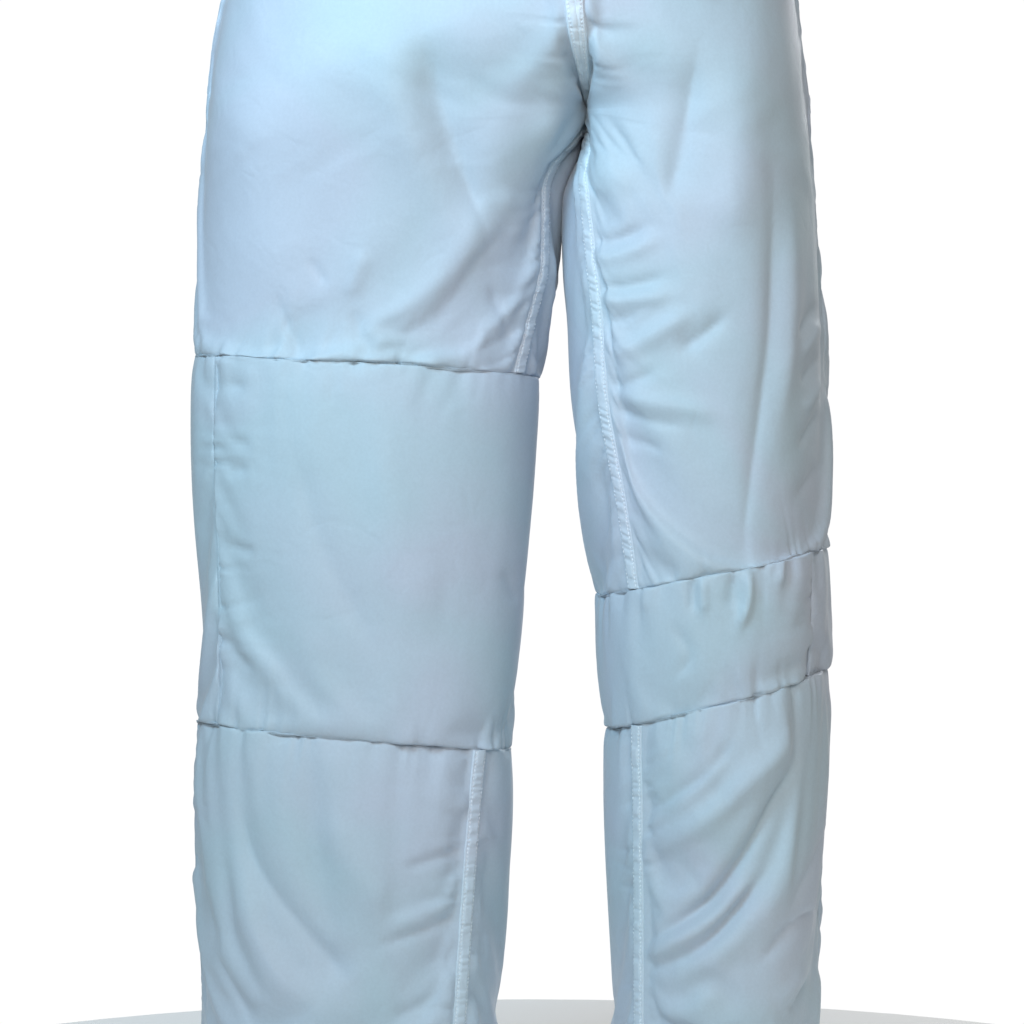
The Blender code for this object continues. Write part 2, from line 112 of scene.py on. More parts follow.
# Folds of the filled cloth, in millimetres: height, half width, and points (x, z) of a route.
# A ridge has a positive height and a valley a negative one.
FOLDS = {
    "right_front_panel": [
        (5, 22, (-118, -210), (-86, -306), (-22, -418)),
        (-7.8, 21, (-84, -216), (-66, -290), (-28, -390)),
        (-2.5, 6, (-30, -405), (-22, -430), (-10, -455)),
        (2, 8, (-32, -330), (-16, -350), (-4, -378)),
        (-1.4, 4, (-174, -386), (-160, -408)),
        (-1.6, 5, (-200, -415), (-180, -462)),
        (-1.6, 5, (-138, -425), (-126, -462)),
        (1.5, 6, (-130, -378), (-142, -420)),
        (3, 30, (-230, -240), (-215, -330), (-205, -440)),
        (3, 12, (19, -240), (13, -268), (6, -310)),
        (2, 3, (26, -252), (34, -256), (41, -264)),
    ],
    "right_knee_front": [
        (-4, 26, (-185, -520), (-160, -610), (-105, -720)),
        (3, 22, (-130, -500), (-100, -600), (-70, -690)),
        (2, 9, (-236, -678), (-210, -700), (-190, -722)),
        (-1.8, 6, (-238, -486), (-220, -490)),
        (-1.8, 6, (-238, -530), (-214, -534)),
        (-1.8, 6, (-238, -556), (-218, -553)),
        (-1.8, 6, (-238, -614), (-212, -618)),
        (-1.8, 6, (-238, -690), (-215, -712)),
        (-2, 7, (-22, -628), (-8, -660)),
    ],
    "right_shin_panel": [
        (-7.5, 18, (-232, -795), (-212, -862), (-160, -925), (-138, -955)),
        (4.5, 16, (-165, -815), (-135, -862), (-100, -905)),
        (4.5, 16, (-238, -862), (-206, -925), (-172, -975)),
        (-3, 6, (-104, -866), (-72, -856), (-44, -850)),
        (-3, 6, (-122, -924), (-82, -912), (-46, -904)),
        (1.6, 6, (-114, -909), (-80, -898), (-48, -890)),
        (-2.5, 8, (-246, -930), (-214, -986)),
        (2, 7, (-236, -925), (-205, -975)),
        (-2, 7, (-110, -985), (-66, -962)),
    ],
    "right_back_panel": [
        (-6, 9, (-6, -296), (-70, -330), (-150, -330)),
        (5, 14, (-10, -318), (-80, -352), (-160, -350)),
        (-5, 8, (-12, -345), (-80, -385), (-170, -402)),
        (-4.5, 10, (-215, -110), (-190, -200), (-120, -262)),
        (4.5, 16, (-180, -90), (-160, -170), (-90, -240)),
        (-3.5, 8, (-60, -60), (-70, -110), (-60, -160)),
        (-4.5, 9, (-230, -300), (-190, -390), (-120, -452)),
        (4, 12, (-245, -340), (-215, -420), (-160, -468)),
    ],
    "left_back_panel": [
        (-6, 9, (50, -296), (100, -322), (165, -316)),
        (5, 13, (56, -318), (110, -345), (170, -340)),
        (-5, 8, (46, -352), (105, -392), (175, -405)),
        (-4.5, 10, (190, -110), (175, -200), (110, -255)),
        (4.5, 14, (160, -90), (140, -170), (85, -235)),
        (-3.5, 8, (90, -60), (100, -110), (86, -160)),
        (-5.5, 10, (212, -400), (170, -480), (100, -560)),
        (4.5, 12, (220, -450), (190, -530), (120, -600)),
    ],
    "right_knee_back": [
        (-6.5, 8, (-45, -575), (-130, -605), (-235, -590)),
        (5, 12, (-40, -598), (-130, -628), (-240, -612)),
        (-6, 8, (-50, -634), (-140, -654), (-225, -640)),
        (-4.5, 9, (-230, -505), (-170, -545), (-80, -560)),
        (-4, 9, (-60, -690), (-130, -705), (-200, -735)),
    ],
    "left_knee_back": [
        (-5, 7, (70, -648), (130, -662), (200, -668)),
        (4, 9, (75, -664), (140, -680), (205, -688)),
        (-4.5, 7, (85, -694), (150, -704), (200, -706)),
    ],
    "right_calf_panel": [
        (-5.5, 9, (-70, -800), (-140, -850), (-225, -870)),
        (4.5, 14, (-75, -826), (-150, -880), (-230, -900)),
        (-5, 9, (-85, -880), (-150, -925), (-215, -940)),
        (-4, 8, (-240, -940), (-190, -980), (-120, -995)),
    ],
    "left_calf_panel": [
        (-6, 9, (205, -770), (165, -830), (95, -860)),
        (5, 14, (215, -800), (170, -862), (100, -892)),
        (-5.5, 9, (220, -850), (175, -905), (110, -930)),
        (-4, 8, (100, -960), (160, -985), (215, -990)),
    ],
    "left_front_panel": [
        (-5.5, 17, (134, -226), (122, -298), (108, -350)),
        (4, 16, (62, -226), (64, -300), (72, -345)),
        (3.5, 20, (170, -242), (166, -322), (150, -380)),
        (2.2, 6, (40, -392), (72, -386), (104, -373)),
        (-2.6, 6, (38, -379), (68, -374), (94, -363)),
        (-3, 6, (44, -414), (78, -410), (112, -402)),
        (2.6, 6, (48, -423), (82, -420), (116, -417)),
        (-2.2, 5, (48, -440), (72, -437), (90, -429)),
        (3, 8, (54, -464), (86, -456), (110, -442), (132, -428)),
        (-3.4, 8, (116, -462), (136, -448), (158, -430)),
        (-2.6, 6, (54, -490), (80, -485), (106, -472)),
        (2.4, 7, (58, -494), (90, -498), (124, -504), (154, -512)),
        (-2.2, 6, (58, -506), (90, -511), (128, -519)),
        (-1.8, 5, (62, -527), (90, -531), (110, -537)),
        (-3.2, 10, (194, -320), (192, -420), (180, -515), (166, -620)),
        (2.6, 9, (210, -340), (207, -430), (196, -530)),
        (-3, 6, (212, -450), (234, -418)),
        (2.6, 5, (214, -466), (237, -432)),
        (-3.2, 6, (214, -488), (238, -456)),
        (2.6, 5, (216, -508), (238, -478)),
        (-3, 6, (212, -536), (238, -502)),
        (-2.4, 6, (210, -575), (236, -545)),
    ],
    "left_knee_front": [
        (3, 3.2, (133, -636), (135, -668)),
        (-2.4, 4.5, (126, -638), (127, -664)),
        (3.8, 3.6, (169, -628), (168, -655), (160, -680)),
        (-2.6, 5.5, (157, -634), (154, -664)),
        (2.4, 3.2, (197, -618), (192, -646)),
        (-2, 5, (206, -618), (202, -644)),
        (1.4, 4, (88, -645), (92, -664)),
        (-2, 5, (108, -670), (124, -696), (112, -716)),
        (2, 6, (176, -732), (206, -720)),
    ],
    "left_shin_panel": [
        (6.2, 10, (208, -736), (194, -766), (166, -794), (130, -826), (78, -858)),
        (-8.6, 8, (210, -776), (190, -806), (162, -850), (134, -886), (76, -932)),
        (4, 6, (174, -858), (138, -898), (78, -940)),
        (-6.4, 7, (182, -858), (158, -890), (130, -920), (76, -950)),
        (5, 14, (218, -818), (186, -874), (154, -914), (112, -948)),
        (-3, 5, (158, -758), (136, -788), (78, -828)),
        (2.6, 6, (154, -770), (132, -798), (104, -818)),
        (-4, 6, (234, -894), (202, -902), (174, -930)),
        (-3, 6, (238, -818), (220, -858), (196, -890)),
        (-3.2, 8, (92, -978), (140, -988), (190, -994)),
        (3, 9, (154, -946), (122, -968), (96, -972)),
        (-3, 7, (226, -950), (206, -975)),
        (2.6, 7, (220, -935), (190, -965)),
    ],
}


# ---- shape of the pants
def along(stations, z):
    """Values at heights z on a smooth curve through stations, listed from the top down."""
    height = np.array([s[0] for s in stations])
    value = np.array([s[1] for s in stations])
    slope = np.empty_like(value)
    slope[1:-1] = (value[2:] - value[:-2]) / (height[2:] - height[:-2])
    slope[0] = (value[1] - value[0]) / (height[1] - height[0])
    slope[-1] = (value[-1] - value[-2]) / (height[-1] - height[-2])
    z = np.clip(z, height[-1], height[0])
    i = np.clip(np.searchsorted(-height, -z, side="right") - 1, 0, len(height) - 2)
    step = height[i + 1] - height[i]
    t = (z - height[i]) / step
    curve = (
        value[i] * (2 * t**3 - 3 * t**2 + 1) + slope[i] * step * (t**3 - 2 * t**2 + t)
        + value[i + 1] * (3 * t**2 - 2 * t**3) + slope[i + 1] * step * (t**3 - t**2)
    )
    line = value[i] + (value[i + 1] - value[i]) * t
    return np.where(height[i] >= WAIST_Z, line, curve)


def straight(stations, z):
    """Values at heights z on straight lines through stations."""
    height = [s[0] for s in stations][::-1]
    value = [s[1] for s in stations][::-1]
    return np.interp(z, height, value)


def smooth(t):
    t = np.clip(t, 0.0, 1.0)
    return t * t * (3 - 2 * t)


def section(side, z):
    """Centre and half width from the split plane, and front and back half depths, at heights z."""
    leg = SIDES[side]
    outer = along(leg["outer"], z)
    inner = along(leg["inner"], z)
    shared = smooth((HIP_Z - z) / (HIP_Z - CROTCH_Z))
    above = z >= CROTCH_Z
    half = np.where(above, outer / (1 + shared), (outer - inner) / 2)
    centre = np.where(above, outer - half, (outer + inner) / 2)
    front = along(leg["depth"], z)
    return centre, half, front, front + SEAT * smooth(1 - np.abs(z - HIP_Z) / 0.17)


def lean(x, z):
    """How far the cloth at x from the split plane is drawn to the wearer's left."""
    hip = LEAN_HIP * (z - WAIST_Z) / (HIP_Z - WAIST_Z)
    drop = np.clip((z - HIP_Z) / (CROTCH_Z - HIP_Z), 0, 1)
    fall = LEAN_HIP + (LEAN - LEAN_HIP) * drop**2.2 * (1.35 - 0.35 * drop**4)
    leg = LEAN * smooth(1 - (CROTCH_Z - z) / 0.07)
    pull = np.where(z >= HIP_Z, hip, np.where(z >= CROTCH_Z, fall, leg))
    return pull * smooth(1 - np.abs(x) / LEAN_REACH)


def power(value):
    return np.sign(value) * np.abs(value) ** (2 / SQUARENESS)


def surface(side, angle, z, depth=0.0):
    """Points at angles round the leg: 0 inner, quarter turn front, half turn outer."""
    angle, z = np.broadcast_arrays(np.asarray(angle, float), np.asarray(z, float))
    centre, half, front, back = section(side, z)
    across = centre - (half - depth) * power(np.cos(angle))
    turn = power(np.sin(angle))
    y = -np.where(turn > 0, front - depth, back - depth) * turn
    x = SIDES[side]["sign"] * across
    return np.stack((SPLIT_X + x + lean(x, z), y, z), axis=-1)


def cut_angle(side, z, clearance=0.0):
    """The angle where the section is cut, clearance from the split plane."""
    centre, half, _, _ = section(side, z)
    share = np.minimum(1.0, (centre - clearance) / half)
    return np.arccos(np.sign(share) * np.abs(share) ** (SQUARENESS / 2))


def inner_angle(side, z, clearance=0.0):
    """The angle of a panel's inner edge: on the split plane, then on the inseam."""
    inseam = straight(SIDES[side]["inseam"], z)
    return np.where(z > CROTCH_Z, cut_angle(side, z, clearance), inseam)


def knee_line(side, which, angle):
    """Heights of a knee section's seam at angles round the leg."""
    height, tilt, back = SIDES[side][which]
    wobble = 0.0009 * noise(8.0 * np.cos(angle), 8.0 * np.sin(angle) + len(which), 21)
    return height + tilt * np.cos(angle) + back * np.maximum(0.0, -np.sin(angle)) ** 2 + wobble


# ---- noise and grids
def bell(t):
    """One at nothing, and fading smoothly to nothing on both sides."""
    return np.exp(-(t**2))


def lattice(i, j, seed):
    """A repeatable value from -1 to 1 for each whole place (i, j)."""
    n = (i.astype(np.int64) * 374761393 + j.astype(np.int64) * 668265263 + seed * 974634777)
    n = (n ^ (n >> 13)) & 0x7FFFFFFF
    n = (n * 1274126177) & 0x7FFFFFFF
    n = (n ^ (n >> 16)) & 0xFFFF
    return n / 32767.5 - 1.0


def noise(u, v, seed=0):
    """Smooth value noise in the plane."""
    i, j = np.floor(u), np.floor(v)
    s, t = smooth(u - i), smooth(v - j)
    low = lattice(i, j, seed) * (1 - s) + lattice(i + 1, j, seed) * s
    high = lattice(i, j + 1, seed) * (1 - s) + lattice(i + 1, j + 1, seed) * s
    return low * (1 - t) + high * t


def unit(vectors):
    return vectors / (np.linalg.norm(vectors, axis=-1, keepdims=True) + 1e-12)


def away_from_leg(points, side):
    """Level directions from the middle of a leg to each point."""
    leg_x = SPLIT_X + SIDES[side]["sign"] * section(side, points[..., 2])[0]
    return np.stack((points[..., 0] - leg_x, points[..., 1], 0 * leg_x), axis=-1)


def strip_normals(points, outward):
    """Normals of a grid of points, on the side where outward points."""
    n = unit(np.cross(np.gradient(points, axis=0), np.gradient(points, axis=1)))
    return -n if np.sum(n * outward) < 0 else n


def normals(points, side):
    """Outward normals of a grid of points round a leg."""
    return strip_normals(points, away_from_leg(points, side))


def lengths(points, axis):
    """Distance run along a grid's rows or columns."""
    step = np.linalg.norm(np.diff(points, axis=axis), axis=-1)
    start = np.zeros_like(np.take(step, [0], axis=axis))
    return np.concatenate((start, np.cumsum(step, axis=axis)), axis=axis)


def curve_points(points, count=40):
    """Points on a smooth curve through a few points."""
    p = np.array(points, float)
    if len(p) == 2:
        return p[0] + (p[1] - p[0]) * np.linspace(0, 1, count)[:, None]
    p = np.vstack((2 * p[0] - p[1], p, 2 * p[-1] - p[-2]))
    spans = len(p) - 3
    out = []
    for s in np.linspace(0, spans, count):
        i = min(int(s), spans - 1)
        t = s - i
        a, b, c, d = p[i:i + 4]
        out.append(0.5 * (2 * b + (c - a) * t + (2 * a - 5 * b + 4 * c - d) * t**2
                          + (3 * b - a - 3 * c + d) * t**3))
    return np.array(out)


def fold_heights(points, facing, folds):
    """The height of every fold at a grid of points seen from the front."""
    total = np.zeros(points.shape[:2])
    flat = points[..., (0, 2)]
    for height, width, *route in folds:
        path = curve_points(np.array(route) / 1000)
        best = np.full(total.shape, 1e9)
        where = np.zeros(total.shape)
        for k in range(len(path) - 1):
            a, b = path[k], path[k + 1]
            run = b - a
            t = np.clip(((flat - a) @ run) / (run @ run), 0, 1)
            near = a + t[..., None] * run
            gap = np.sum((flat - near) ** 2, axis=-1)
            closer = gap < best
            best = np.where(closer, gap, best)
            where = np.where(closer, (k + t) / (len(path) - 1), where)
        taper = smooth(where / 0.3) * smooth((1 - where) / 0.3) * 0.85 + 0.15
        spread_out = np.sqrt(best) / (width / 1000)
        profile = np.exp(-spread_out**2) if height > 0 else np.exp(-1.25 * spread_out**1.25)
        total += FOLD_STRENGTH * (height / 1000) * taper * profile
    return total * smooth(facing * 2.2)


# ---- meshes
def make_mesh(name, verts, faces, look, uv=None):
    mesh = bpy.data.meshes.new(name)
    mesh.from_pydata(verts.tolist(), [], faces.tolist())
    mesh.polygons.foreach_set("use_smooth", np.ones(len(mesh.polygons), dtype=bool))
    if uv is not None:
        layer = mesh.uv_layers.new(name="cloth")
        index = np.empty(len(mesh.loops), dtype=np.int32)
        mesh.loops.foreach_get("vertex_index", index)
        layer.data.foreach_set("uv", uv[index].astype(np.float32).ravel())
    mesh.materials.append(look)
    made = bpy.data.objects.new(name, mesh)
    bpy.context.scene.collection.objects.link(made)
    return made


def quads(*corners):
    return np.stack([corner.ravel() for corner in corners], axis=1)


def grid_quads(grid):
    return quads(grid[:-1, :-1], grid[:-1, 1:], grid[1:, 1:], grid[1:, :-1])


def sheet_faces(rows, cols, wrap):
    """Quads of a closed sheet: an outer grid, an inner grid and the edges between them."""
    count = cols if wrap else cols + 1
    grid = np.arange((rows + 1) * count).reshape(rows + 1, count)
    if wrap:
        grid = np.hstack((grid, grid[:, :1]))
    back = grid + (rows + 1) * count

    faces = [grid_quads(grid),
             quads(back[:-1, :-1], back[1:, :-1], back[1:, 1:], back[:-1, 1:]),
             quads(grid[0, 1:], grid[0, :-1], back[0, :-1], back[0, 1:]),
             quads(grid[-1, :-1], grid[-1, 1:], back[-1, 1:], back[-1, :-1])]
    if not wrap:
        faces += [quads(grid[:-1, 0], grid[1:, 0], back[1:, 0], back[:-1, 0]),
                  quads(grid[1:, -1], grid[:-1, -1], back[:-1, -1], back[1:, -1])]
    return np.vstack(faces)


def cloth_sheet(name, points, n, thickness, look, wrap=False):
    """A closed sheet from a grid of points, its back a thickness behind it."""
    rows, cols = points.shape[0] - 1, points.shape[1] - (0 if wrap else 1)
    inner = points - n * thickness
    verts = np.vstack((points.reshape(-1, 3), inner.reshape(-1, 3)))
    faces = sheet_faces(rows, cols, wrap)
    a, b, c = (verts[faces[0, k]] for k in range(3))
    if np.dot(np.cross(b - a, c - a), n[0, 0]) < 0:
        faces = faces[:, ::-1]
    uv = np.stack((lengths(points, 1), lengths(points, 0)), axis=-1).reshape(-1, 2)
    return make_mesh(name, verts, faces, look, np.vstack((uv, uv)))


# ---- materials
def feed(tree, socket, value):
    """Link another node's output to a socket, or set the socket's own value."""
    if isinstance(value, bpy.types.NodeSocket):
        tree.links.new(value, socket)
    else:
        socket.default_value = value


def node(tree, kind, *first, **values):
    """A shader node. Inputs are given in order or by capitalised names, settings by other names."""
    made = tree.nodes.new(kind)
    for key, value in values.items():
        if key[0].isupper():
            feed(tree, made.inputs[key.replace("_", " ")], value)
        else:
            setattr(made, key, value)
    for socket, value in zip(made.inputs, first):
        feed(tree, socket, value)
    return made


def math_node(tree, operation, *first):
    return node(tree, "ShaderNodeMath", *first, operation=operation).outputs[0]


def clouds(tree, place, scale, detail, **values):
    return node(tree, "ShaderNodeTexNoise", Vector=place, Scale=scale, Detail=detail,
                **values).outputs["Fac"]


def ranged(tree, value, start, end, low, high):
    """A value mapped from start and end to low and high."""
    return node(tree, "ShaderNodeMapRange", value, start, end, low, high).outputs[0]


def scaled(tree, colour, factor):
    """A colour or a link to one, times a factor."""
    made = node(tree, "ShaderNodeVectorMath", colour, operation="SCALE", Scale=factor)
    return made.outputs[0]


def blank_look(name, **values):
    """A new material, with its node tree and its shader, and where things are on its pieces."""
    made = bpy.data.materials.new(name)
    made.use_nodes = True
    tree = made.node_tree
    shader = tree.nodes["Principled BSDF"]
    for key, value in values.items():
        shader.inputs[key.replace("_", " ")].default_value = value
    return made, tree, shader.inputs, node(tree, "ShaderNodeTexCoord").outputs


def crinkles(tree, place):
    """A normal with faint creases where a slow noise crosses its middle value."""
    slow = clouds(tree, place, 26.0, 2.0, Roughness=0.55, Distortion=0.5)
    fold = math_node(tree, "ABSOLUTE", math_node(tree, "SUBTRACT", slow, 0.5))
    ramp = node(tree, "ShaderNodeMapRange", interpolation_type="SMOOTHSTEP", Value=fold, From_Max=0.14)
    return node(tree, "ShaderNodeBump", Strength=0.12, Distance=0.0012,
                Height=ramp.outputs[0]).outputs["Normal"]


def fabric(name, colour, roughness, weave, sheen, bump, patch):
    """Woven cloth: warp and weft threads, slubs, small creases and slow variation of shade."""
    made, tree, look, place = blank_look(name, Sheen_Weight=sheen, Sheen_Roughness=0.35,
                                         Specular_IOR_Level=0.40)
    warp, weft = (node(tree, "ShaderNodeTexWave", wave_type="BANDS", bands_direction=way,
                       Vector=place["UV"], Scale=weave, Distortion=0.6, Detail=1.0).outputs["Fac"]
                  for way in "XY")
    threads = math_node(tree, "ADD", warp, weft)
    slub = clouds(tree, place["Object"], 420.0, 3.0, Roughness=0.6)
    cloud = clouds(tree, place["Object"], 9.0, 4.0, Roughness=0.55)
    relief = math_node(tree, "MULTIPLY_ADD", threads, 0.5, slub)
    rise = node(tree, "ShaderNodeBump", Strength=bump, Distance=0.0004, Height=relief,
                Normal=crinkles(tree, place["Object"]))
    feed(tree, look["Normal"], rise.outputs["Normal"])
    shade = ranged(tree, cloud, 0.3, 0.7, 1 - patch, 1 + patch)
    grain = ranged(tree, slub, 0.25, 0.75, 0.965, 1.035)
    red, green, blue = colour
    slow = clouds(tree, place["Object"], 6.0, 2.0, Distortion=0.6)
    hue = node(tree, "ShaderNodeMix", data_type="RGBA", Factor=ranged(tree, slow, 0.35, 0.65, 0, 1),
               A=(red * 1.04, green * 0.985, blue * 1.01, 1), B=(red * 0.95, green * 1.015, blue, 1))
    both = math_node(tree, "MULTIPLY", shade, grain)
    feed(tree, look["Base Color"], scaled(tree, hue.outputs["Result"], both))
    gloss = ranged(tree, cloud, 0.3, 0.7, roughness - 0.05, roughness + 0.05)
    feed(tree, look["Roughness"], gloss)
    return made


def hard(name, colour, roughness, metallic, grain, bump):
    """Moulded or plated fittings: fine grain, and slightly uneven gloss."""
    made, tree, look, place = blank_look(name, Metallic=metallic)
    fine = clouds(tree, place["Object"], grain, 4.0, Roughness=0.6)
    rise = node(tree, "ShaderNodeBump", Strength=bump, Distance=0.0002, Height=fine)
    feed(tree, look["Normal"], rise.outputs["Normal"])
    feed(tree, look["Roughness"], ranged(tree, fine, 0, 1, roughness - 0.06, roughness + 0.08))
    feed(tree, look["Base Color"], scaled(tree, colour, ranged(tree, fine, 0, 1, 0.93, 1.05)))
    return made


LOOKS = {
    "shell": fabric("shell_nylon", (0.475, 0.560, 0.630), 0.52, 900.0, 0.25, 0.12, 0.02),
    # The front rise band gets a lighter copy of the band cloth: a painted highlight for the sheen it
    # catches, not a lighter fabric.
    "rise": fabric("rise_band_painted_highlight_nylon", (0.68, 0.77, 0.83), 0.50, 900.0, 0.25, 0.16, 0.02),
    # The seam bands and belt loops are the shell nylon made lighter: painted sheen for the light the
    # raised bands catch.
    "band": fabric("seam_band_nylon_painted_sheen", (0.58, 0.67, 0.735), 0.50, 900.0, 0.25, 0.16, 0.02),
    "lining": fabric("lining_taffeta", (0.56, 0.60, 0.64), 0.62, 700.0, 0.2, 0.12, 0.03),
    "gaiter": fabric("gaiter_taffeta", (0.38, 0.44, 0.50), 0.55, 700.0, 0.2, 0.15, 0.03),
    "elastic": fabric("elastic_knit", (0.60, 0.62, 0.64), 0.8, 420.0, 0.3, 0.5, 0.03),
    "tape": fabric("zip_tape_weave", (0.50, 0.60, 0.68), 0.8, 500.0, 0.3, 0.4, 0.03),
    "thread": fabric("sewing_thread", (0.78, 0.84, 0.88), 0.5, 1500.0, 0.4, 0.3, 0.02),
    "chain": hard("zip_coil", (0.56, 0.62, 0.68), 0.38, 0.0, 900.0, 0.1),
    "metal": hard("satin_nickel", (0.62, 0.62, 0.63), 0.32, 1.0, 1400.0, 0.15),
}


# ---- grids of the panels
def count_for(length, step=STEP):
    return max(4, int(round(length / step)))


def graded(length, count=None):
    """Fractions along a length, closer together near both of its seams."""
    near = np.array(NEAR_SEAM)
    span = length - 2 * near[-1]
    inside = (count - 2 * len(near) + 1) if count else count_for(span)
    middle = np.linspace(near[-1], length - near[-1], inside + 1)[1:-1]
    return np.concatenate((near, middle, length - near[::-1])) / length


def upper_rows(side):
    """Heights of the rows at the inner edge and at the outer side, waistband to knee."""
    knee = SIDES[side]["knee_top"][0]
    near = np.array(NEAR_SEAM)
    hips = np.linspace(BAND_Z - near[-1], HIP_Z, count_for(BAND_Z - HIP_Z), endpoint=False)
    turn = np.linspace(math.pi / 2, 0, count_for(0.175), endpoint=False)
    rise = CROTCH_Z + (HIP_Z - CROTCH_Z) * (1 - np.cos(turn))
    leg = np.linspace(CROTCH_Z - 0.0004, knee + near[-1], count_for(CROTCH_Z - knee))
    inner = np.concatenate((BAND_Z - near[:-1], hips, rise, leg, knee + near[-2::-1]))
    outer = BAND_Z + (knee - BAND_Z) * graded(BAND_Z - knee, len(inner))
    return inner, outer


def upper_grid(side, back, clearance=0.0):
    """Angles and heights of a front or back panel, from inner edge to side seam."""
    inner, outer = upper_rows(side)
    t = graded(0.38)[None, :]
    z = inner[:, None] * (1 - smooth(t)) + outer[:, None] * smooth(t)
    knee = SIDES[side]["knee_top"][0]
    reach = smooth((CROTCH_Z - z) / (CROTCH_Z - knee))
    start = inner[:, None]
    slit = clearance * smooth((start - FLY_END_Z + 0.010) / 0.010)
    edge = inner_angle(side, start, slit)
    if back:
        edge = np.where(start > CROTCH_Z, TURN - edge, TURN + edge)
    angle = edge * (1 - t) + math.pi * t
    return angle, z + reach * (knee_line(side, "knee_top", angle) - knee)


def knee_grid(side, start, end):
    """Angles and heights of a knee section's front or back."""
    leg = SIDES[side]
    t = graded(0.68 * (end - start) / (TURN))[None, :]
    v = graded(leg["knee_top"][0] - leg["knee_foot"][0])[:, None]
    angle = start + (end - start) * t + 0 * v
    z = knee_line(side, "knee_top", angle) * (1 - v) + knee_line(side, "knee_foot", angle) * v
    return angle, z


def shin_grid(side, back):
    """Angles and heights of a shin or calf panel, from the inseam to the side seam."""
    top = SIDES[side]["knee_foot"][0]
    t = graded(0.31)[None, :]
    v = graded(top - HEM_TOP_Z)[:, None]
    inseam = straight(SIDES[side]["inseam"], top * (1 - v) + HEM_TOP_Z * v)
    edge = TURN + inseam if back else inseam
    angle = edge * (1 - t) + math.pi * t
    return angle, knee_line(side, "knee_foot", angle) * (1 - v) + HEM_TOP_Z * v


# ---- relief of the cloth
ROLL_DEPTH, ROLL_WIDTH = 0.0011, 0.0017
PUFF, PUFF_REACH = 0.0026, 0.016


def edge_distances(points):
    """How far each point is from the four edges of its grid, and how far along each edge."""
    across, down = lengths(points, 1), lengths(points, 0)
    return {"top": (down, across), "foot": (down[-1:, :] - down, across),
            "start": (across, down), "end": (across[:, -1:] - across, down)}


def puckers(gap, run, seed, offset):
    """Short creases that run away from a seam, in clusters, with soft swells between them."""
    away = np.maximum(gap - offset, 0.0)
    begin = smooth((gap - 0.8 * offset) / (0.4 * offset + 0.0010))
    drift = 0.006 * noise(run / 0.05, away / 0.05, seed + 3)
    crease = bell(noise((run + drift) / 0.0125, away / 0.09, seed) / 0.20)
    thin = bell(noise((run - drift) / 0.0052, away / 0.05, seed + 5) / 0.22)
    swell = noise((run + drift) / 0.021, away / 0.10, seed + 9)
    group = smooth(0.5 + 0.75 * noise(run / 0.040, 0 * run, seed + 11))
    reach = 0.008 + 0.014 * group
    long_part = (0.0034 * swell - 0.0030 * crease) * np.exp(-away / reach)
    short_part = -0.0014 * thin * np.exp(-away / 0.005)
    least = 0.80 if offset else 0.35
    return begin * (least + (1 - least) * group) * (long_part + short_part)


def seam_relief(points, edges, seed):
    """How far the cloth stands out: sunk at its seams, puckered beside them, full between.

    edges gives for each seam how deep it sinks, how strongly it puckers, and where they start.
    """
    total = np.zeros(points.shape[:2])
    nearest = np.full(total.shape, 1.0)
    gaps = edge_distances(points)
    for k, (edge, (sink, strength, offset)) in enumerate(edges.items()):
        gap, run = gaps[edge]
        total -= sink * ROLL_DEPTH * bell(gap / ROLL_WIDTH)
        total += strength * puckers(gap, run, seed + 17 * k, offset)
        nearest = np.minimum(nearest, np.maximum(gap - offset, 0.0) if sink else 1.0)
    total += PUFF * (1 - np.exp(-nearest / PUFF_REACH)) - 0.0006
    allowance = np.minimum.reduce([gap for gap, _ in gaps.values()])
    return np.where(allowance < 0.0001, total - SEAM_ALLOWANCE, total)


def soft_drape(points, seed, amount=1.0):
    """Slow swells of the filled cloth, longer along the leg than round it."""
    across, down = lengths(points, 1), lengths(points, 0)
    bend = 0.02 * noise(across / 0.11, down / 0.16, seed + 3)
    slow = noise((across + bend) / 0.075, (down + 0.5 * across) / 0.13, seed)
    quick = noise((across + bend) / 0.030, (down + 0.7 * across) / 0.060, seed + 1)
    return amount * (0.0022 * slow + 0.0009 * quick)


def segment_distance(points, a, b):
    """Distance of each point from the straight line between two places."""
    run = b - a
    t = np.clip(((points - a) @ run) / (run @ run), 0, 1)
    return np.linalg.norm(points - (a + t[..., None] * run), axis=-1)


def on_plane(x, z, depth=0.0, back=False):
    """The front or back surface at distances x from the split plane."""
    x, z, depth = np.broadcast_arrays(np.asarray(x, float), np.asarray(z, float), depth)
    out = np.zeros(x.shape + (3,))
    for side, mine in (("right", x < 0), ("left", x >= 0)):
        centre, half, _, _ = section(side, z)
        share = np.clip((centre - np.abs(x)) / (half - depth), -1, 1)
        angle = np.arccos(np.sign(share) * np.abs(share) ** (SQUARENESS / 2))
        angle = TURN - angle if back else angle
        out = np.where(mine[..., None], surface(side, angle, z, depth), out)
    return out


POCKET_ANGLE = 2.15
FLAT_HALF, FLAT_FADE = 0.0055, 0.026  # flat cloth beside a zip


def zip_line(name):
    """Top and foot of a zip, at the middle of its chain."""
    if name == "fly":
        return on_plane(0.0, BAND_Z - 0.005), on_plane(0.0, FLY_END_Z)
    ends = surface(name, POCKET_ANGLE, np.array([BAND_Z - 0.012, FLY_END_Z]))
    return ends[0], ends[1]


def zip_clearance(points, name):
    """How free the cloth is near a zip, nothing at it and one away from it, and the welt's height."""
    near = segment_distance(points, *zip_line(name))
    return smooth((near - FLAT_HALF) / FLAT_FADE), 0.0009 * bell((near - 0.0062) / 0.0018)


# ---- cloth simulation
SETTLE_FRAMES, SETTLE_LIMIT = 22, 0.0080
CLOTH = {
    "vertex_group_mass": "held", "quality": 4, "mass": 0.25, "air_damping": 3.0,
    "tension_stiffness": 20.0, "compression_stiffness": 20.0, "shear_stiffness": 8.0,
    "bending_stiffness": 1.2, "use_pressure": True, "uniform_pressure_force": 0.2,
}


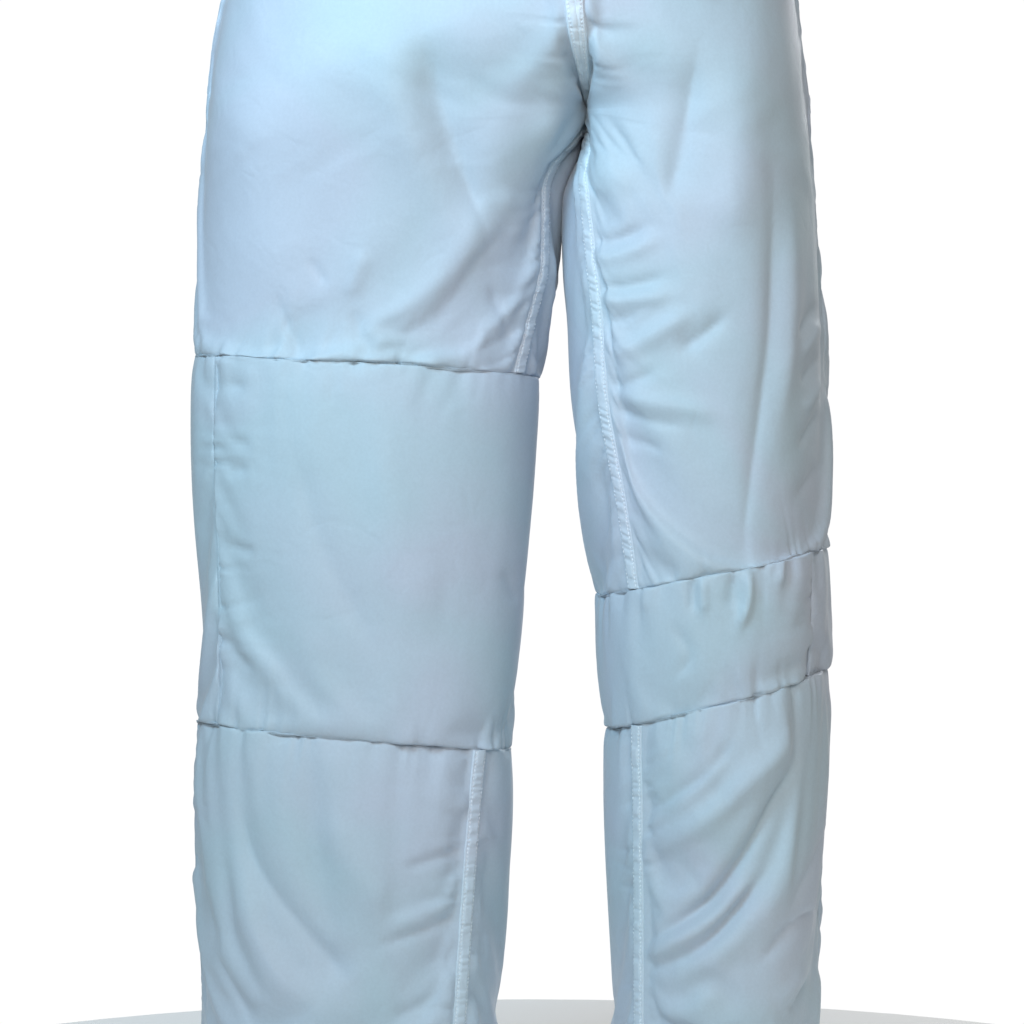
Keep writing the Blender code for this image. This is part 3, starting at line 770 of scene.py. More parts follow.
def simulate(starts):
    """Let grids of points settle as cloth held along their edges. Returns where they went."""
    pieces = {}
    for name, (points, looseness) in starts.items():
        rows, cols = points.shape[:2]
        grid = np.arange(rows * cols).reshape(rows, cols)
        piece = make_mesh("settling_" + name, points.reshape(-1, 3), grid_quads(grid),
                          LOOKS["shell"])
        rim = np.unique(np.concatenate((grid[0], grid[-1], grid[:, 0], grid[:, -1])))
        piece.vertex_groups.new(name="held").add(rim.tolist(), 1.0, "REPLACE")
        cloth = piece.modifiers.new("settle", "CLOTH")
        for key, value in CLOTH.items():
            setattr(cloth.settings, key, value)
        cloth.settings.shrink_min = -looseness
        cloth.settings.effector_weights.gravity = 0.5
        cloth.collision_settings.use_collision = False
        cloth.point_cache.frame_start = 1
        cloth.point_cache.frame_end = SETTLE_FRAMES
        pieces[name] = piece
    scene = bpy.context.scene
    for frame_number in range(1, SETTLE_FRAMES + 1):
        scene.frame_set(frame_number)
    settled = {}
    for name, piece in pieces.items():
        mesh = piece.evaluated_get(bpy.context.evaluated_depsgraph_get()).data
        where = np.empty(len(mesh.vertices) * 3)
        mesh.vertices.foreach_get("co", where)
        settled[name] = where.reshape(starts[name][0].shape)
        old = piece.data
        bpy.data.objects.remove(piece, do_unlink=True)
        bpy.data.meshes.remove(old)
    scene.frame_set(1)
    return settled


def coarse_places(count):
    """Every second index of a grid's side, with the last one."""
    return np.unique(np.concatenate((np.arange(0, count, 2), [count - 1])))


def spread(values, rows, cols, shape):
    """A coarse grid's values at every place of the fine grid."""
    def stretched(line, places, axis):
        return np.interp(np.arange(shape[axis]), places, line)

    fine = np.apply_along_axis(stretched, 0, values, rows, 0)
    fine = np.apply_along_axis(stretched, 1, fine, cols, 1)
    for _ in range(2):
        fine[1:-1] = (fine[:-2] + 2 * fine[1:-1] + fine[2:]) / 4
        fine[:, 1:-1] = (fine[:, :-2] + 2 * fine[:, 1:-1] + fine[:, 2:]) / 4
    return fine


def settle_panels(plans):
    """How each panel's points move when its slack cloth settles between its seams."""
    starts, places = {}, {}
    for name, (points, looseness) in plans.items():
        rows, cols = coarse_places(points.shape[0]), coarse_places(points.shape[1])
        places[name] = rows, cols
        starts[name] = points[np.ix_(rows, cols)], looseness
    moved = {}
    for name, where in simulate(starts).items():
        move = where - starts[name][0]
        size = np.linalg.norm(move, axis=-1, keepdims=True) + 1e-12
        move *= SETTLE_LIMIT * np.tanh(size / SETTLE_LIMIT) / size
        moved[name] = spread(move, *places[name], plans[name][0].shape)
    return moved


# ---- shell panels
def bend_with(piece, side):
    """Bake the placement of a piece of one leg into its mesh; the piece is not bent at its knee."""
    leg = SIDES[side]
    middle = (leg["bend"][0] + leg["bend"][1]) / 2
    x = SPLIT_X + leg["sign"] * float(section(side, np.array(middle))[0])
    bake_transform(piece)


def stand_for(piece, slot, *nodes):
    if nodes:
        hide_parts(*nodes)


def make_strip(name, points, n, thickness, look, slot, body, wrap=False):
    """A strip of cloth that stands for one CAD piece and goes with one body."""
    piece = cloth_sheet(name + "_cloth", points, n, thickness, LOOKS[look], wrap)
    stand_for(piece, slot, name)
    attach(piece, body)


def panel_plans(side):
    """Angles, heights, seams, slackness and drape of each shell panel of one leg."""
    edge = SIDES[side]["knee_front_edge"]
    low, high = KNEE_BACK_EDGE, TURN + KNEE_BACK_EDGE
    seam, band, hem, waist = (1, 1.25, 0), (0.5, 1.35, BAND_HALF), (1, 0.6, 0), (1, 0.45, 0)
    plain, proud = (0.8, 0.5, 0), (0.2, 1.0, 0)
    slack = {"right": (0.014, 0.026, 0.010, 0.026, 0.022, 0.030),
             "left": (0.024, 0.024, 0.016, 0.026, 0.034, 0.032)}[side]
    return {
        "front_panel": (upper_grid(side, False, FLY_HALF), slack[0], 0.8,
                        dict(top=waist, foot=seam, start=band, end=(0.8, 0.22, 0))),
        "back_panel": (upper_grid(side, True), slack[1], 1.0,
                       dict(top=waist, foot=seam, start=band, end=plain)),
        "knee_front": (knee_grid(side, low, edge), slack[2], 0.5,
                       dict(top=proud, foot=seam, start=plain, end=(1, 1.0, 0))),
        "knee_back": (knee_grid(side, edge, high), slack[3], 1.0,
                      dict(top=proud, foot=seam, start=plain, end=plain)),
        "shin_panel": (shin_grid(side, False), slack[4], 0.8,
                       dict(top=proud, foot=hem, start=band, end=plain)),
        "calf_panel": (shin_grid(side, True), slack[5], 1.0,
                       dict(top=proud, foot=hem, start=band, end=plain)),
    }


def soft_least(first, second):
    """The smaller of two heights, with the corner between them rounded off."""
    soft = 0.0007
    least = np.minimum(first, second)
    return least - soft * np.log1p(np.exp(-np.abs(first - second) / soft))


def lay_under_band(base, total, settled):
    """Hold the cloth close to level where a felled band covers its inner edge."""
    gaps = edge_distances(base)
    gap = gaps["start"][0]
    turned = np.minimum.reduce([g for g, _ in gaps.values()]) < 0.0001
    free = np.maximum(gap - BAND_HALF, 0.0)
    low = -soft_least(-total, 0.0014 + 0.60 * free)
    low = soft_least(low, 0.0004 + 0.45 * free)
    return np.where(turned, total, low), settled * smooth(free / 0.018)[..., None]


def make_panels():
    """Every shell panel: its folds are laid in, its slack settles, and its seams are drawn."""
    ready, starts = {}, {}
    for side in SIDES:
        for k, (part, ((angle, z), slack, drape, edges)) in enumerate(panel_plans(side).items()):
            name = side + "_" + part
            base = surface(side, angle, z)
            n = normals(base, side)
            seed = 40 * k + (5 if side == "left" else 400)
            facing = n[..., 1] if "back" in part or "calf" in part else -n[..., 1]
            relief = fold_heights(base, facing, FOLDS[name])
            relief *= BACK_STRENGTH if "back" in part or "calf" in part else 1.0
            relief += soft_drape(base, seed + 200, drape)
            fine = seam_relief(base, edges, seed)
            ready[name] = side, base, n, relief, fine
            gap = np.minimum.reduce([g for g, _ in edge_distances(base).values()])
            starts[name] = base + n * (relief * smooth(gap / 0.012))[..., None], slack
    moved = settle_panels(starts)
    made = {}
    for name, (side, base, n, relief, fine) in ready.items():
        settled = moved.get(name, np.zeros_like(base))
        total = relief + fine
        if "knee" not in name:
            total, settled = lay_under_band(base, total, settled)
        if "front_panel" in name or "back_panel" in name:
            for zip_name in ("fly", side):
                clear, welt = zip_clearance(base, zip_name)
                total = np.where(fine > -0.003, total * clear + welt, total)
                settled = settled * clear[..., None]
        points = base + n * total[..., None] + settled
        piece = cloth_sheet(name + "_cloth", points, normals(points, side), SHELL, LOOKS["shell"])
        bend_with(piece, side)
        stand_for(piece, "shell_fabric", name)
        made[name] = points
    return made


# ---- stitches
def capsules(centres, along_way, outward, length, radius, sink=0.0):
    """Short rounded bars, all of one size. Returns their points and faces."""
    stations = np.array([-0.5, -0.36, 0.0, 0.36, 0.5]) * length
    radii = np.array([0.35, 0.85, 1.0, 0.85, 0.35]) * radius
    drop = np.array([-1.0, -0.35, 0.0, -0.35, -1.0]) * sink
    turns = np.linspace(0, TURN, 6, endpoint=False)
    aside = unit(np.cross(outward, along_way))
    ring_out = (radii[:, None] * np.cos(turns) + drop[:, None]).ravel()
    ring_side = (radii[:, None] * np.sin(turns)).ravel()
    reach = np.repeat(stations, 6)
    verts = (centres[:, None] + along_way[:, None] * reach[:, None]
             + outward[:, None] * ring_out[:, None] + aside[:, None] * ring_side[:, None])
    ids = np.arange(30).reshape(5, 6)
    nxt = np.roll(ids, -1, axis=1)
    sides = np.stack((ids[:-1], nxt[:-1], nxt[1:], ids[1:]), axis=-1).reshape(-1, 4)
    caps = np.array([[5, 4, 3, 2], [5, 2, 1, 0], [24, 25, 26, 27], [24, 27, 28, 29]])
    faces = np.vstack((sides, caps))
    faces = faces[None] + 30 * np.arange(len(centres))[:, None, None]
    return verts.reshape(-1, 3), faces.reshape(-1, 4)


def along_path(path, outward, pitch):
    """Evenly spaced places on a path, with its direction and outward normal there."""
    step = np.linalg.norm(np.diff(path, axis=0), axis=1)
    run = np.concatenate(([0], np.cumsum(step)))
    places = np.arange(pitch / 2, run[-1] - pitch / 2, pitch)

    def read(values, at):
        return np.stack([np.interp(at, run, values[:, k]) for k in range(3)], axis=1)

    centres = read(path, places)
    return centres, unit(read(path, places + 0.001) - centres), unit(read(outward, places))


def merged(parts):
    """Points and faces of several parts as those of one mesh."""
    starts = np.cumsum([0] + [len(verts) for verts, _ in parts])
    faces = [f + start for (_, f), start in zip(parts, starts)]
    return np.vstack([verts for verts, _ in parts]), np.vstack(faces)


def stitch_rows(name, rows):
    """One piece for several rows of thread stitches, each a path with outward normals."""
    bars = []
    for path, outward in rows:
        centres, way, out = along_path(path, outward, STITCH_PITCH)
        bars.append(capsules(centres + out * STITCH_LIFT, way, out, STITCH_LENGTH, STITCH_RADIUS,
                             STITCH_RADIUS))
    piece = make_mesh(name, *merged(bars), LOOKS["thread"])
    return piece


# ---- felled seam bands
def band_relief(w, run, seed):
    """Across a felled seam: rounded edges, two sunk stitch lines and small tucks between them."""
    body = 0.0016 * (1 - np.abs(w) ** 4) - 0.0030 * np.abs(w) ** 16
    line = bell((np.abs(w) - 0.68) / 0.14)
    pull = 0.0010 + 0.0006 * np.cos(TURN * (run / STITCH_PITCH - 0.5))
    tuck = bell(noise(run / 0.0052, 0.35 * w, seed) / 0.34)
    swell = noise(run / 0.011, 0.5 * w, seed + 1)
    between = smooth((0.62 - np.abs(w)) / 0.25)
    return body - pull * line + (0.0004 * swell - 0.0010 * tuck) * (0.25 + 0.75 * between)


def make_band(name, base, outward, seed, lift=0.0, look="band"):
    """A felled band on a grid of places whose columns run across it, with its stitches."""
    w = np.linspace(-1, 1, base.shape[1])[None, :]
    n = strip_normals(base, outward)
    run = lengths(base, 0)
    points = base + n * (lift + band_relief(w, run, seed))[..., None]
    piece = cloth_sheet(name + "_cloth", points, n, 0.0008, LOOKS[look])
    rows = []
    for place in (-0.68, 0.68):
        column = int(round((place + 1) / 2 * (base.shape[1] - 1)))
        rows.append((points[:, column], n[:, column]))
    sewing = stitch_rows(name + "_stitches", rows)
    return piece, sewing, points


BAND_COLUMNS = np.linspace(-1, 1, 23)


def inseam_band(side, part, top, foot, seed):
    """The felled band over an inseam, between two heights."""
    z = np.linspace(top, foot, count_for(top - foot, 0.0011) + 1)[:, None]
    middle = straight(SIDES[side]["inseam"], z)
    _, half, front, _ = section(side, z)
    reach = BAND_HALF / np.hypot(half * np.sin(middle), front * np.cos(middle))
    base = surface(side, middle + reach * BAND_COLUMNS[None, :], z)
    name = side + "_" + part + "_inseam_band"
    piece, sewing, points = make_band(name, base, away_from_leg(base, side), seed)
    stand_for(piece, "seam_band", name)
    for made in (piece, sewing):
        bend_with(made, side)


def rise_band(name, back, top, foot, seed):
    """The felled band down the centre front or back, narrowing towards the crotch."""
    z = np.linspace(top, foot, count_for(top - foot, 0.0011) + 1)[:, None]
    half = BAND_HALF * (1 - 0.50 * smooth((HIP_Z - 0.030 - z) / 0.060))
    base = on_plane(half * BAND_COLUMNS[None, :], z, 0.0, back)
    level = smooth((foot + 0.036 - z) / 0.024)  # the surface turns under steeply at the crotch
    base[..., 1] += level * (base[..., 1].mean(axis=1, keepdims=True) - base[..., 1])
    outward = np.zeros_like(base)
    outward[..., 1] = 1 if back else -1
    lift = 0.0020 * smooth(edge_distances(base)["foot"][0] / 0.050)
    # The front band takes the lighter look, a painted highlight; the back band keeps the plain band
    # colour.
    piece, sewing, points = make_band(name, base, outward, seed, lift, "band" if back else "rise")
    stand_for(piece, "seam_band", name)
    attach(piece, ROOT)
    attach(sewing, ROOT)


def make_bands():
    for k, side in enumerate(SIDES):
        leg = SIDES[side]
        inseam = straight(leg["inseam"], leg["knee_top"][0])
        knee = float(knee_line(side, "knee_top", inseam))
        shin = float(knee_line(side, "knee_foot", straight(leg["inseam"], leg["knee_foot"][0])))
        inseam_band(side, "thigh", CROTCH_Z - 0.006, knee + 0.0006, 31 + k)
        inseam_band(side, "shin", shin - 0.0006, HEM_TOP_Z + 0.0010, 51 + k)
    rise_band("centre_front_seam_band", False, FLY_END_Z - 0.003, CROTCH_Z + 0.004, 71)
    rise_band("centre_back_seam_band", True, BAND_Z - 0.001, CROTCH_Z + 0.004, 81)


# ---- linings
def quilting(points, seed):
    """Wadding between lining and shell, held down along a diamond of stitch lines."""
    across, down = lengths(points, 1), lengths(points, 0)
    first = np.abs(((across + down) / 0.075) % 1.0 - 0.5) * 2
    second = np.abs(((across - down) / 0.075) % 1.0 - 0.5) * 2
    pillow = (1 - np.maximum(first, second) ** 6) ** 0.5
    return 0.0022 * pillow + 0.0005 * noise(across / 0.03, down / 0.03, seed)


LINED_PANELS = {"thigh": ("_front_panel", "_back_panel"), "knee": ("_knee_front", "_knee_back"),
                "shin": ("_shin_panel", "_calf_panel")}


def lining(side, part, angle, z, seed):
    """One quilted lining behind its shell panels: it follows their valleys."""
    base = surface(side, angle, z)
    n = normals(base, side)
    front, back = LINED_PANELS[part]
    folds = fold_heights(base, -n[..., 1], FOLDS[side + front])
    folds += BACK_STRENGTH * fold_heights(base, n[..., 1], FOLDS[side + back])
    away = lengths(base, 0) if part == "thigh" else QUILT_FLARE
    deep = QUILT_OUT - (QUILT_OUT - 0.0036) * (1 - smooth(away / QUILT_FLARE))
    outer = base + n * (np.minimum(folds, 0) - deep)[..., None]
    thick = QUILT_THICK + quilting(base, seed) - 0.0011
    inner = outer - n * thick[..., None]
    name = side + "_" + part + "_quilted_lining"
    piece = cloth_sheet(name + "_cloth", inner, -n, 0.0014, LOOKS["lining"])
    bend_with(piece, side)
    stand_for(piece, "lining_fabric", name)


def every_second(values):
    """Every second row and column, with the last column kept."""
    last = values[:, -1:] if values.shape[1] % 2 == 0 else values[:, :0]
    return np.hstack((values[:, ::2], last))[::2]


def joined(front, back):
    """Front and back grids side by side, from inseam to inseam round the outer side."""
    return tuple(np.hstack((a, b[:, -2::-1])) for a, b in zip(front, back))


def make_linings(side, seed):
    thigh = joined(upper_grid(side, False, QUILT_FLY_HALF), upper_grid(side, True, 0.0))
    knee = knee_grid(side, KNEE_BACK_EDGE, KNEE_BACK_EDGE + TURN)
    shin = joined(shin_grid(side, False), shin_grid(side, True))
    grids = {"thigh": (thigh[0], thigh[1] - 0.0008), "knee": knee, "shin": shin}
    for k, (part, (angle, z)) in enumerate(grids.items()):
        lining(side, part, every_second(angle), every_second(z), seed + k)


# ---- waistband, hems and gaiters
def ring_points(side, start, end, heights, depth):
    """A grid round one leg or half of the waist, at one depth."""
    columns = count_for(0.30 * abs(end - start).mean() / 2, 0.0034)
    t = np.linspace(0, 1, columns + 1)[None, :]
    z = np.asarray(heights)[:, None]
    return surface(side, start + (end - start) * t, z + 0 * t, depth)


def closed_ring(side, start, heights, depth):
    """A ring of points right round one leg, and its normals."""
    ring = ring_points(side, start, start + TURN, heights, depth)[:, :-1]
    return ring, normals(np.hstack((ring, ring[:, :1])), side)[:, :-1]


def rounded_edges(points, lift=0.0014):
    """A strip's long edges curl towards the body."""
    down = lengths(points, 0)
    gap = np.minimum(down, down[-1:] - down)
    return -lift * bell(gap / 0.0011)


def topstitched(points, rows, seed, depth=0.0006):
    """Two sunk lines of topstitching with small tucks across them."""
    down, across = lengths(points, 0), lengths(points, 1)
    total = 0.0004 * noise(across / 0.016, down / 0.02, seed)
    for place in rows:
        gap = down - place
        total -= depth * bell(gap / 0.0010)
        tuck = bell(noise(across / 0.0075, gap / 0.02, seed + 2) / 0.25)
        total -= 0.0005 * tuck * np.exp(-np.abs(gap) / 0.0035)
    return total


def rows_at(points, n, places):
    """The rows of a grid that lie nearest to each distance from its top, with their normals."""
    down = lengths(points, 0)[:, points.shape[1] // 2]
    near = [int(np.argmin(np.abs(down - place))) for place in places]
    return [(points[row], n[row]) for row in near]


def make_waistband(side, seed):
    """Half of the outer band with its topstitching, and half of the facing inside it."""
    height = WAIST_Z - BAND_Z
    z = WAIST_Z - height * graded(height, 26)
    cut = cut_angle(side, z[:, None], 0.0003)
    band = ring_points(side, cut, TURN - cut, z, 0.0)
    n = normals(band, side)
    rows = (0.0030, height - 0.0030)
    relief = 0.0016 + rounded_edges(band) + topstitched(band, rows, seed)
    points = band + n * relief[..., None]
    make_strip(side + "_waistband", points, n, 0.0022, "shell", "shell_fabric", ROOT)
    sewing = stitch_rows(side + "_waistband_stitches", rows_at(points, n, rows))
    inside = ring_points(side, cut, TURN - cut, z - 0.0008, 0.0026)
    relief = rounded_edges(inside, 0.0006) + topstitched(inside, rows, seed + 5, 0.0004)
    facing = cloth_sheet(side + "_waistband_facing_cloth", inside - n * (0.0016 + relief)[..., None],
                         -n, 0.0012, LOOKS["lining"])
    stand_for(facing, "lining_fabric", side + "_waistband_facing")
    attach(sewing, ROOT)
    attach(facing, ROOT)


def make_hem(side, seed):
    """The turned-up hem, with two rows of topstitching."""
    height = HEM_TOP_Z - HEM_Z
    z = HEM_TOP_Z - height * graded(height, 22)
    start = straight(SIDES[side]["inseam"], z)[:, None]
    ring, n = closed_ring(side, start, z, 0.0)
    rows = (0.0035, height - 0.0040)
    relief = 0.0010 + rounded_edges(ring) + topstitched(ring, rows, seed)
    points = ring + n * relief[..., None]
    piece = cloth_sheet(side + "_hem_cloth", points, n, 0.0030, LOOKS["shell"], True)
    stand_for(piece, "shell_fabric", side + "_hem")
    sewing = stitch_rows(side + "_hem_stitches", rows_at(points, n, rows))
    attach(piece, side + "_lower_leg")
    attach(sewing, side + "_lower_leg")


def make_gaiter(side, seed):
    """The snow gaiter inside the leg, gathered into its elastic cuff."""
    v = np.linspace(0, 1, 34)
    z = GAITER_TOP_Z + (GAITER_FOOT_Z - GAITER_TOP_Z) * v
    start = np.zeros((1, 1))
    ring, n = closed_ring(side, start, z, (0.0150 + 0.012 * v**1.5)[:, None])
    across = lengths(ring, 1)
    gathers = noise(across / 0.008, v[:, None] * 0.6, seed) * 0.0026 * v[:, None] ** 1.2
    points = ring + n * gathers[..., None]
    leg = side + "_lower_leg"
    make_strip(side + "_snow_gaiter", points, n, 0.0006, "gaiter", "gaiter_fabric", leg,
               True)
    z = np.linspace(CUFF_TOP_Z, CUFF_FOOT_Z, 12)
    ring, n = closed_ring(side, start, z, 0.0265)
    ribs = 0.0005 * np.cos(np.linspace(0, 8 * math.pi, 12))[:, None] * np.ones(ring.shape[1])
    ripple = 0.0007 * noise(lengths(ring, 1) / 0.006, 0 * ribs, seed + 1)
    points = ring + n * (ribs + ripple)[..., None]
    make_strip(side + "_gaiter_elastic", points, n, 0.0026, "elastic", "elastic", leg,
               True)


def make_pocket_bag(side, seed):
    """The empty pocket bag, lying flat inside the lining."""
    z = np.linspace(BAND_Z - 0.006, BAG_FOOT_Z, 60)
    t = np.linspace(0, 1, 50)[None, :]
    round_foot = 0.10 * smooth((BAG_FOOT_Z + 0.035 - z[:, None]) / 0.035)
    start, end = POCKET_ANGLE - 0.45 + round_foot, POCKET_ANGLE + 0.35 - round_foot
    base = surface(side, start + (end - start) * t, z[:, None], 0.0165)
    n = normals(base, side)
    across, down = lengths(base, 1), lengths(base, 0)
    gap = np.minimum(across, across[:, -1:] - across)
    welt = -0.0008 * bell((gap - 0.006) / 0.0012)
    relief = 0.0009 * noise(across / 0.03, down / 0.04, seed) + welt
    points = base + n * relief[..., None]
    make_strip(side + "_pocket_bag", points, n, 0.0010, "lining", "lining_fabric", ROOT)


# ---- zips, tab and belt loops
def local_axes(top, foot, outward):
    """Axes of a flat fitting: across, up and outward."""
    up = (top - foot) / np.linalg.norm(top - foot)
    normal = outward - up * (outward @ up)
    normal /= np.linalg.norm(normal)
    return np.cross(up, normal), up, normal


def zip_axes(name):
    top, foot = zip_line(name)
    outward = np.array([0.0, -1.0, 0.0])
    if name != "fly":
        beside = surface(name, POCKET_ANGLE + 0.01, BAND_Z - 0.012) - top
        outward = np.cross(beside, top - foot)
        outward = outward if outward[1] < 0 else -outward
    return top, foot, local_axes(top, foot, outward)


COIL_PITCH = 0.00125


def make_chain(name, node_name, length_cut, low):
    """A coil zip: two rows of interlocked turns along a cord, between its tapes."""
    top, foot, (across, up, out) = zip_axes(name)
    length = np.linalg.norm(top - foot) - length_cut
    pitch = COIL_PITCH
    steps = np.arange(int(length / pitch))
    bars = []
    for sign in (-1, 1):
        place = steps * pitch + (pitch / 2 if sign > 0 else 0) + 0.0005
        centres = top - up * place[:, None] + across * sign * 0.0011 + out * (low + 0.0007)
        way = np.tile(across * sign, (len(place), 1))
        bars.append(capsules(centres, way, np.tile(out, (len(place), 1)), 0.0036, 0.00052, 0.0004))
        cord = top + across * sign * 0.0026 + out * (low + 0.0004) - up * np.array([[length / 2]])
        bars.append(capsules(cord, -up[None], out[None], length, 0.0005))
    piece = make_mesh(node_name + "_coil", *merged(bars), LOOKS["chain"])
    stand_for(piece, "zip_chain", node_name)
    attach(piece, ROOT)


def make_tapes():
    """The woven tapes on each side of the fly's coil."""
    top, foot, (across, up, out) = zip_axes("fly")
    length = np.linalg.norm(top - foot) - 0.006
    for side, sign in (("right", -1), ("left", 1)):
        w = np.linspace(0.0006, 0.0140, 14)[None, :, None] * sign
        run = np.linspace(0, length, 90)[:, None, None]
        rib = 0.00018 * np.cos(w * TURN / 0.0022)
        wave = 0.0002 * noise(run[..., 0] / 0.012, w[..., 0] / 0.02, 7)[..., None]
        points = top + across * w - up * run + out * (-0.0024 + rib + wave)
        n = np.broadcast_to(out, points.shape)
        make_strip("fly_zip_tape_" + side, points, n, 0.0007, "tape", "zip_tape", ROOT)


TAB_LEFT, TAB_RIGHT, TAB_HALF = -0.035, 0.0300, 0.0120
TAB_RISE, TAB_SEWING_INSET = 0.0042, 0.0026


def make_tab():
    """The waist tab: a doubled strip with a round end, topstitched all round."""
    left, right, middle, half = TAB_LEFT, TAB_RIGHT, BAND_Z / 2 - 0.0005, TAB_HALF
    x = np.linspace(left, right, 62)
    tip = np.clip((x - (right - half)) / half, 0, 1)
    height = half * np.sqrt(np.clip(1 - tip**2.4, 0.0, 1)) + 0.0004
    v = np.linspace(-1, 1, 26)
    z = middle - height[None, :] * v[:, None]
    x = np.broadcast_to(x[None, :], z.shape)
    points = on_plane(x, z)
    n = strip_normals(points, np.array([0.0, -1.0, 0.0]))
    edge = np.minimum((1 - np.abs(v))[:, None] * height[None, :], right + 0.0004 - x)
    edge = np.minimum(edge, x - left)
    relief = TAB_RISE - 0.0008 * bell(edge / 0.0009)
    relief -= 0.0004 * bell((edge - TAB_SEWING_INSET) / 0.0008)
    relief += 0.0002 * noise(x / 0.008, z / 0.01, 12)
    points = points + n * relief[..., None]
    make_strip("waist_tab", points, n, 0.0016, "shell", "shell_fabric", "waist_tab")
    inset = 1 - TAB_SEWING_INSET / (half + 0.0004)
    rows = []
    for level in (inset, -inset):
        row = int(round((level + 1) / 2 * 25))
        rows.append((points[row, 2:-6], n[row, 2:-6]))
    rows.append((points[3:-3, 3], n[3:-3, 3]))
    sewing = stitch_rows("waist_tab_stitches", rows)
    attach(sewing, "waist_tab")


LOOPS = {"front_right": (-0.075, False), "front_left": (0.055, False),
         "back_right": (-0.075, True), "back_centre": (0.0, True), "back_left": (0.055, True)}


LOOP_HEIGHT, LOOP_HALF = 0.040, 0.0050


def make_loop(name, x, back):
    """A belt loop: a folded strap that bows off the waistband between two bar tacks."""
    top, foot = on_plane(x, -0.001, -0.0012, back), on_plane(x, -0.041, -0.0012, back)
    beside = on_plane(x + 0.002, -0.001, -0.0012, back) - top
    outward = np.cross(beside, top - foot)
    if outward[1] * (1 if back else -1) < 0:
        outward = -outward
    across, up, out = local_axes(top, foot, outward)
    height = LOOP_HEIGHT
    side_view = [(-0.0006, 0.0016), (-0.0012, 0.0052), (-0.0032, 0.0080), (-0.0080, 0.0084),
                 (-0.0200, 0.0085), (-0.0320, 0.0084), (-height + 0.0032, 0.0080),
                 (-height + 0.0012, 0.0052), (-height + 0.0006, 0.0016)]
    path = curve_points(side_view, 90)
    w = np.linspace(-LOOP_HALF, LOOP_HALF, 15)
    points = top + up * path[:, :1, None] + out * path[:, 1:, None] + across * w[None, :, None]
    n = strip_normals(points, out)
    share = np.abs(w / LOOP_HALF)[None, :]
    run = lengths(points, 0)
    relief = -0.0005 * share**6 - 0.0003 * bell((share - 0.66) / 0.12)
    relief = relief - 0.0003 * bell(noise(run / 0.004, 0 * run, 3) / 0.3)
    points = points + n * relief[..., None]
    make_strip("belt_loop_" + name, points, n, 0.0013, "band", "seam_band", ROOT)
    rows = [(points[:, 2], n[:, 2]), (points[:, 12], n[:, 12])]
    for row in (*range(16, 20), *range(70, 74)):  # the bar tacks near both ends
        rows.append((points[row, 1:-1], n[row, 1:-1]))
    sewing = stitch_rows("belt_loop_" + name + "_stitches", rows)
    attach(sewing, ROOT)


def dress_fittings():
    """Finishes of the hard fittings, which keep their CAD shapes."""
    for name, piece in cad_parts.items():
        if name.endswith(("_slider", "_pull", "_stop", "snap_cap", "snap_stud")):
            piece.data.materials.clear()
            piece.data.materials.append(LOOKS["metal"])


# ---- the whole object
make_panels()
make_bands()
for number, side in enumerate(SIDES):
    make_linings(side, 600 + 10 * number)
    make_waistband(side, 700 + 10 * number)
    make_hem(side, 720 + 10 * number)
    make_gaiter(side, 740 + 10 * number)
    make_pocket_bag(side, 760 + 10 * number)
    make_chain(side, side + "_pocket_zip_chain", 0.0, 0.0005)
make_chain("fly", "fly_zip_chain", 0.006, -0.0016)
make_tapes()
make_tab()
for name, (x, back) in LOOPS.items():
    make_loop(name, x, back)
dress_fittings()


# ---- floor, light and camera
def stage_floor():
    look = bpy.data.materials.new("pale_floor")
    look.use_nodes = True
    shader = look.node_tree.nodes["Principled BSDF"]
    shader.inputs["Base Color"].default_value = (0.88, 0.87, 0.85, 1)
    shader.inputs["Roughness"].default_value = 0.8
    count = 64
    radius = 0.62
    turns = np.linspace(0, TURN, count, endpoint=False)
    rim = np.stack((radius * np.cos(turns), radius * np.sin(turns), 0 * turns + HEM_Z - 0.012), -1)
    floor = make_mesh("floor", rim, np.arange(count)[None, :], look)


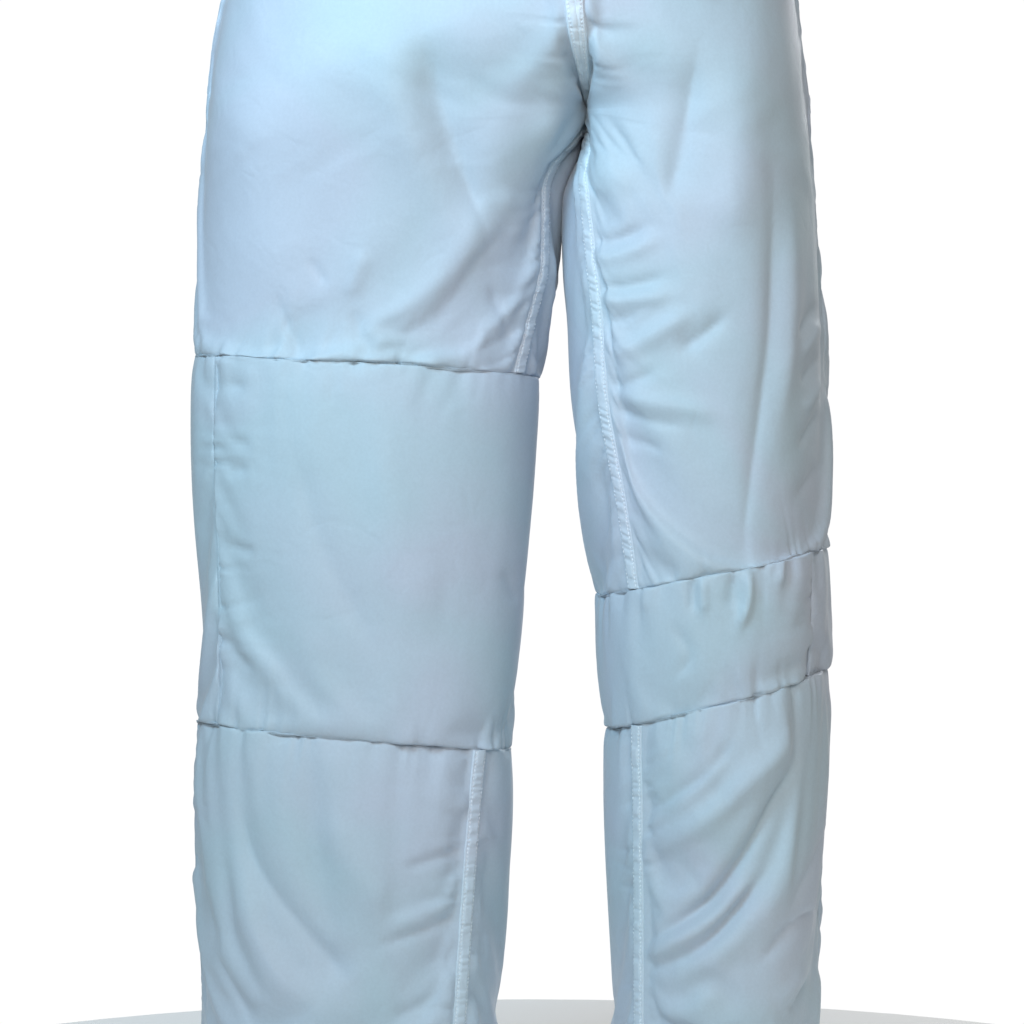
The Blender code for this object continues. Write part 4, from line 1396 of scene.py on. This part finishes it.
def lamp(name, place, aim, size, power_w, colour, spread_deg):
    data = bpy.data.lights.new(name, "AREA")
    data.shape = "SQUARE"
    data.size = size
    data.energy = power_w
    data.color = colour
    data.spread = math.radians(spread_deg)
    made = bpy.data.objects.new(name, data)
    made.location = place
    made.rotation_euler = (Vector(aim) - Vector(place)).to_track_quat("-Z", "Y").to_euler()
    bpy.context.scene.collection.objects.link(made)


def lights():
    world = bpy.data.worlds.new("studio")
    bpy.context.scene.world = world
    world.use_nodes = True
    tree = world.node_tree
    tree.nodes.clear()
    seen = node(tree, "ShaderNodeBackground", Color=(1, 1, 1, 1), Strength=1.02)
    given = node(tree, "ShaderNodeBackground", Color=(0.97, 0.975, 0.97, 1), Strength=0.25)
    path = node(tree, "ShaderNodeLightPath")
    mix = node(tree, "ShaderNodeMixShader")
    out = node(tree, "ShaderNodeOutputWorld")
    tree.links.new(path.outputs["Is Camera Ray"], mix.inputs[0])
    tree.links.new(given.outputs[0], mix.inputs[1])
    tree.links.new(seen.outputs[0], mix.inputs[2])
    tree.links.new(mix.outputs[0], out.inputs["Surface"])
    lamp("key", (-0.80, -1.20, 0.50), (-0.14, 0, -0.14), 0.7, 7.6, (0.50, 0.79, 1.0), 98)
    lamp("fill", (0.05, -2.2, 0.35), (0.02, 0, -0.28), 1.2, 7.6, (1.0, 0.970, 0.945), 100)
    lamp("warm", (1.9, -0.7, -0.5), (0.1, 0, -0.65), 0.8, 3, (1.0, 0.98, 0.88), 180)
    lamp("back", (0.9, 2.2, 0.8), (0, 0, -0.4), 1.2, 42, (0.92, 0.96, 1.0), 180)


CAMERA_X, CAMERA_Z = -0.0127, -0.5876
VIEW_WIDTH = 0.8192  # metres seen across the view, at the depth of the legs


def camera():
    distance = 3.0
    data = bpy.data.cameras.new("camera")
    data.sensor_width = 36.0
    data.lens = data.sensor_width * distance / VIEW_WIDTH
    made = bpy.data.objects.new("camera", data)
    made.location = (CAMERA_X, -distance, CAMERA_Z)
    made.rotation_euler = (math.pi / 2, 0, 0)
    bpy.context.scene.collection.objects.link(made)
    bpy.context.scene.camera = made
    bpy.context.scene.view_settings.view_transform = "Standard"


stage_floor()
lights()
camera()
